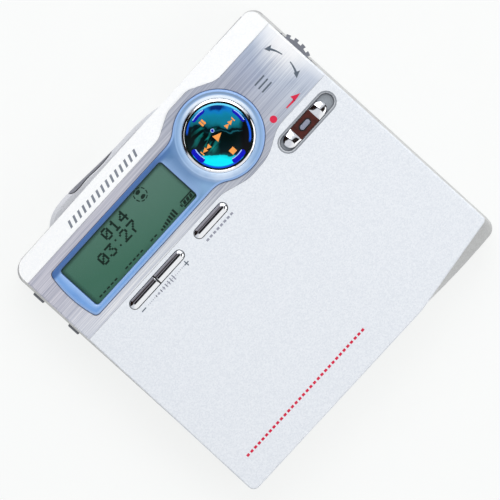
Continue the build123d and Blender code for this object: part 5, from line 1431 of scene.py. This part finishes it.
@dataclass
class RecordSlider:
    """The record slider: bright ends, a smoked middle and a framed grey nub."""

    middle: Point = (27.95, 10.1)
    size: Point = (12.6, 3.4)
    foot: float = 15.5
    rim: float = 16.55
    well: float = 16.35
    well_half: Point = (2.9, 1.68)
    bank: float = 0.42
    crest: float = 0.5
    crest_at: float = 4.6
    nub_size: Point = (2.8, 1.1)
    tray_middle: Point = (28.65, 10.1)
    tray_size: Point = (16.9, 4.7)
    tray_floor: float = 15.35

    def top(self, u: float, v: float) -> float:
        """The knob's height: a sunk middle between two banked, rounded ends."""
        half, radius = self.size[0] / 2, self.size[1] / 2
        over = max(0.0, abs(u) - (half - radius))
        edge = bullnose(radius - math.hypot(over, v), 0.5)
        if abs(u) < self.well_half[0]:
            return self.well if abs(v) < self.well_half[1] else self.rim - 0.12 + 0.12 * edge
        climb = bullnose(abs(u) - self.well_half[0], self.bank)
        swell = (1 - abs(abs(u) - self.crest_at) / 2.4) * (1 - 0.16 * v * v)
        return self.well + (self.rim - self.well - 0.2 + self.crest * swell) * min(climb, edge + 0.05)

    def nub_top(self, u: float, v: float) -> float:
        """The nub's height, flat with a rounded edge."""
        half, radius = self.nub_size[0] / 2, self.nub_size[1] / 2
        over = max(0.0, abs(u) - (half - radius))
        return self.well + 0.3 + 0.2 * bullnose(radius - math.hypot(over, v), 0.3)

    def finishes(self) -> None:
        """Dress the slider's CAD nodes."""
        dress_nodes({"record_tray": Paint.TRAY.value})

    def build(self) -> None:
        """Mould the knob, lay its smoked middle, stand the nub on it and line the slot."""
        knob = moulding("record_knob_bar", self.middle, self.size, self.foot, self.top, steps=110)
        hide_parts("record_knob")
        place(knob, "record_knob", Metal.CHROME.value, "bright_chrome")
        width, depth = (2 * value + 0.04 for value in self.well_half)
        floor = raised("record_knob_middle", [rectangle(self.middle, (width, depth))], lambda x, y: self.well, 0.04)
        place(floor, "record_knob", Resin.WALNUT.value, "dark_plastic")
        frame_cells = capsule_ring(self.middle, self.nub_size[0] + 0.3, self.nub_size[1] + 0.3, 0.26)
        border = raised("record_knob_nub_border", frame_cells, lambda x, y: self.well + 0.03, 0.05)
        place(border, "record_knob", Resin.RUBBER.value, "black_rubber")
        nub = moulding("record_knob_nub", self.middle, self.nub_size, self.well, self.nub_top, steps=36)
        place(nub, "record_knob", Resin.NUB.value, "knob_grey")
        self.line_slot("record_slot_line", 0.0, 0.08, 16.4, 0.012, Resin.KNOB.value)
        self.line_slot("record_slot_rim", -0.3, 0.34, 16.12, 0.02, Paint.RIM.value)
        # painted shade: a dark line where the slot's wall meets the tray floor
        self.line_slot("record_slot_painted_shade", -0.66, 0.14, self.tray_floor, 0.02, Resin.WHEEL.value)

    def line_slot(self, name: str, grow: float, line: float, height: float, thickness: float, finish: Finish) -> None:
        """Run a thin line round the slot.

        Args:
            name: The piece's name.
            grow: How far the line's middle lies outside the slot's wall.
            line: The line's width.
            height: The height it lies at.
            thickness: How far it stands above that height.
            finish: Its finish.
        """
        length, width = (value + 2 * grow for value in self.tray_size)
        cells = capsule_ring(self.tray_middle, length, width, line)
        place(raised(name, cells, lambda x, y: height, thickness, 0.1), "lid", finish, "lid_grey")


# -------------------------------------------------------------------- studio
@dataclass
class Studio:
    """A pale floor, soft lamps, a plain world and the camera."""

    camera_place: tuple[float, float, float] = (0.04964, 0.04471, 0.89846)
    camera_right: tuple[float, float, float] = (0.67244, -0.74015, -0.00106)
    camera_up: tuple[float, float, float] = (0.73799, 0.67059, -0.07544)
    lens: float = 291.6
    floor_reach: float = 2.5
    lamps: Sequence[tuple[str, tuple[float, float, float], float, float]] = (
        ("key_lamp", (0.484, 0.484, 0.861), 0.8, 7.6),
        ("fill_lamp", (0.35, -0.45, 0.6), 0.5, 1.3),
    )

    def build(self) -> None:
        """Make the whole studio."""
        self.build_camera()
        self.build_floor()
        self.build_lamps()
        self.build_world()

    def build_camera(self) -> None:
        """Stand the camera where the photograph was taken from."""
        data = bpy.data.cameras.new("camera")
        data.lens, data.sensor_width, data.clip_start = self.lens, 36.0, 0.01
        data.dof.use_dof = False
        camera = bpy.data.objects.new("camera", data)
        bpy.context.scene.collection.objects.link(camera)
        right = Vector(self.camera_right).normalized()
        back = right.cross(Vector(self.camera_up)).normalized()
        turn = Matrix((right, back.cross(right), back)).transposed()
        camera.matrix_world = Matrix.Translation(self.camera_place) @ turn.to_4x4()
        bpy.context.scene.camera = camera

    def build_floor(self) -> None:
        """Lay the floor, a pale board with a faint unevenness."""
        reach = self.floor_reach
        mesh = bmesh.new()
        mesh.faces.new([mesh.verts.new((x, y, -0.00005)) for x, y in ((-reach, -reach), (reach, -reach), (reach, reach), (-reach, reach))])
        floor = finished("floor", mesh)
        finish = StudioFloor("white_studio_board", "#F7F8F8", "#F4F5F6", 0.75, 6.0, 0.0)
        floor.data.materials.append(finish.dress())

    def build_lamps(self) -> None:
        """Hang the soft lamps, each turned to the recorder."""
        for name, spot, size, power in self.lamps:
            data = bpy.data.lights.new(name, "AREA")
            data.shape, data.size, data.energy = "SQUARE", size, power
            lamp = bpy.data.objects.new(name, data)
            bpy.context.scene.collection.objects.link(lamp)
            turn = Vector(spot).to_track_quat("Z", "Y")
            lamp.matrix_world = Matrix.Translation(spot) @ turn.to_matrix().to_4x4()

    def build_world(self) -> None:
        """Fill the room with plain light. Gloss also meets dark cards at two sides and a dim ceiling."""
        world = bpy.data.worlds.new("studio")
        world.use_nodes = True
        bpy.context.scene.world = world
        tree = world.node_tree
        tree.nodes.clear()
        spot = add(tree, "ShaderNodeTexCoord").outputs["Generated"]
        axes = add(tree, "ShaderNodeSeparateXYZ", {"Vector": spot}).outputs
        shade = add(tree, "ShaderNodeValToRGB", {"Fac": axes["Z"]}, stops=(
            (0.0, "#E6E8EC"), (0.12, "#CBCED6"), (0.5, "#D8DBE1"), (0.9, "#E2E4E9"), (1.0, "#E6E8EC"),
        )).outputs["Color"]
        soft = add(tree, "ShaderNodeMix", {
            0: 1.0, 6: shade, 7: linear("#D0D0CE"),
        }, data_type="RGBA", blend_type="MULTIPLY").outputs[2]

        def facing_side(direction: Point, low: float, high: float) -> Socket:
            """How squarely a level direction faces one side, whatever its height."""
            level = add(tree, "ShaderNodeVectorMath", {0: spot, 1: (1.0, 1.0, 0.0)}, operation="MULTIPLY").outputs[0]
            level = add(tree, "ShaderNodeVectorMath", {0: level}, operation="NORMALIZE").outputs[0]
            dot = add(tree, "ShaderNodeVectorMath", {0: level, 1: (*direction, 0.0)}, operation="DOT_PRODUCT")
            keys = {"Value": dot.outputs["Value"], "From Min": low, "From Max": high}
            return add(tree, "ShaderNodeMapRange", keys).outputs["Result"]

        def laid(factor: Socket, under: Socket, colour: str) -> Socket:
            """A card's colour over the room's."""
            keys = {0: factor, 6: under, 7: linear(colour)}
            return add(tree, "ShaderNodeMix", keys, data_type="RGBA").outputs[2]

        room = laid(facing_side((0.0, 1.0), 0.2, 0.75), shade, "#A19EA6")
        room = laid(facing_side((0.0, -1.0), 0.3, 0.7), room, "#FFFFFF")
        for side in (1.0, -1.0):
            card = facing_side((0.672 * side, -0.74 * side), 0.8, 0.86)
            below = add(tree, "ShaderNodeMapRange", {"Value": axes["Z"], "From Min": 0.985, "From Max": 0.965}).outputs[0]
            card = add(tree, "ShaderNodeMath", {0: card, 1: below}, operation="MULTIPLY").outputs[0]
            room = laid(card, room, "#1E1512")
        ceiling = add(tree, "ShaderNodeMapRange", {"Value": axes["Z"], "From Min": 0.985, "From Max": 0.992}).outputs[0]
        room = laid(ceiling, room, "#141216")
        rays = add(tree, "ShaderNodeLightPath").outputs
        seen = add(tree, "ShaderNodeMix", {0: rays["Is Glossy Ray"], 6: soft, 7: room}, data_type="RGBA").outputs[2]
        seen = laid(rays["Is Camera Ray"], seen, "#FCFDFE")
        light = add(tree, "ShaderNodeBackground", {"Color": seen, "Strength": 1.0})
        add(tree, "ShaderNodeOutputWorld", {"Surface": light.outputs[0]})


def main() -> None:
    """Build the recorder's sub-assemblies in order, then the studio."""
    logging.basicConfig(level=logging.INFO, format="%(name)s: %(message)s")
    bpy.context.scene.view_settings.view_transform = "Standard"
    studio = Studio()
    studio.build()
    row = row_repeater()
    case, drive, display, key, lid, slider = Case(), Drive(), Display(), ControlKey(), Lid(), RecordSlider()
    bezel, slim_keys = Bezel(), SlimKeys()
    for part in (case, drive, display, key, lid, slider):
        part.finishes()
    case.build(cross_repeater(), row, parts_repeater())
    drive.build(thread_repeater())
    display.build(row)
    bezel.build()
    key.build()
    slim_keys.build()
    lid.build(row)
    slider.build()


if __name__ == "__main__":
    main()
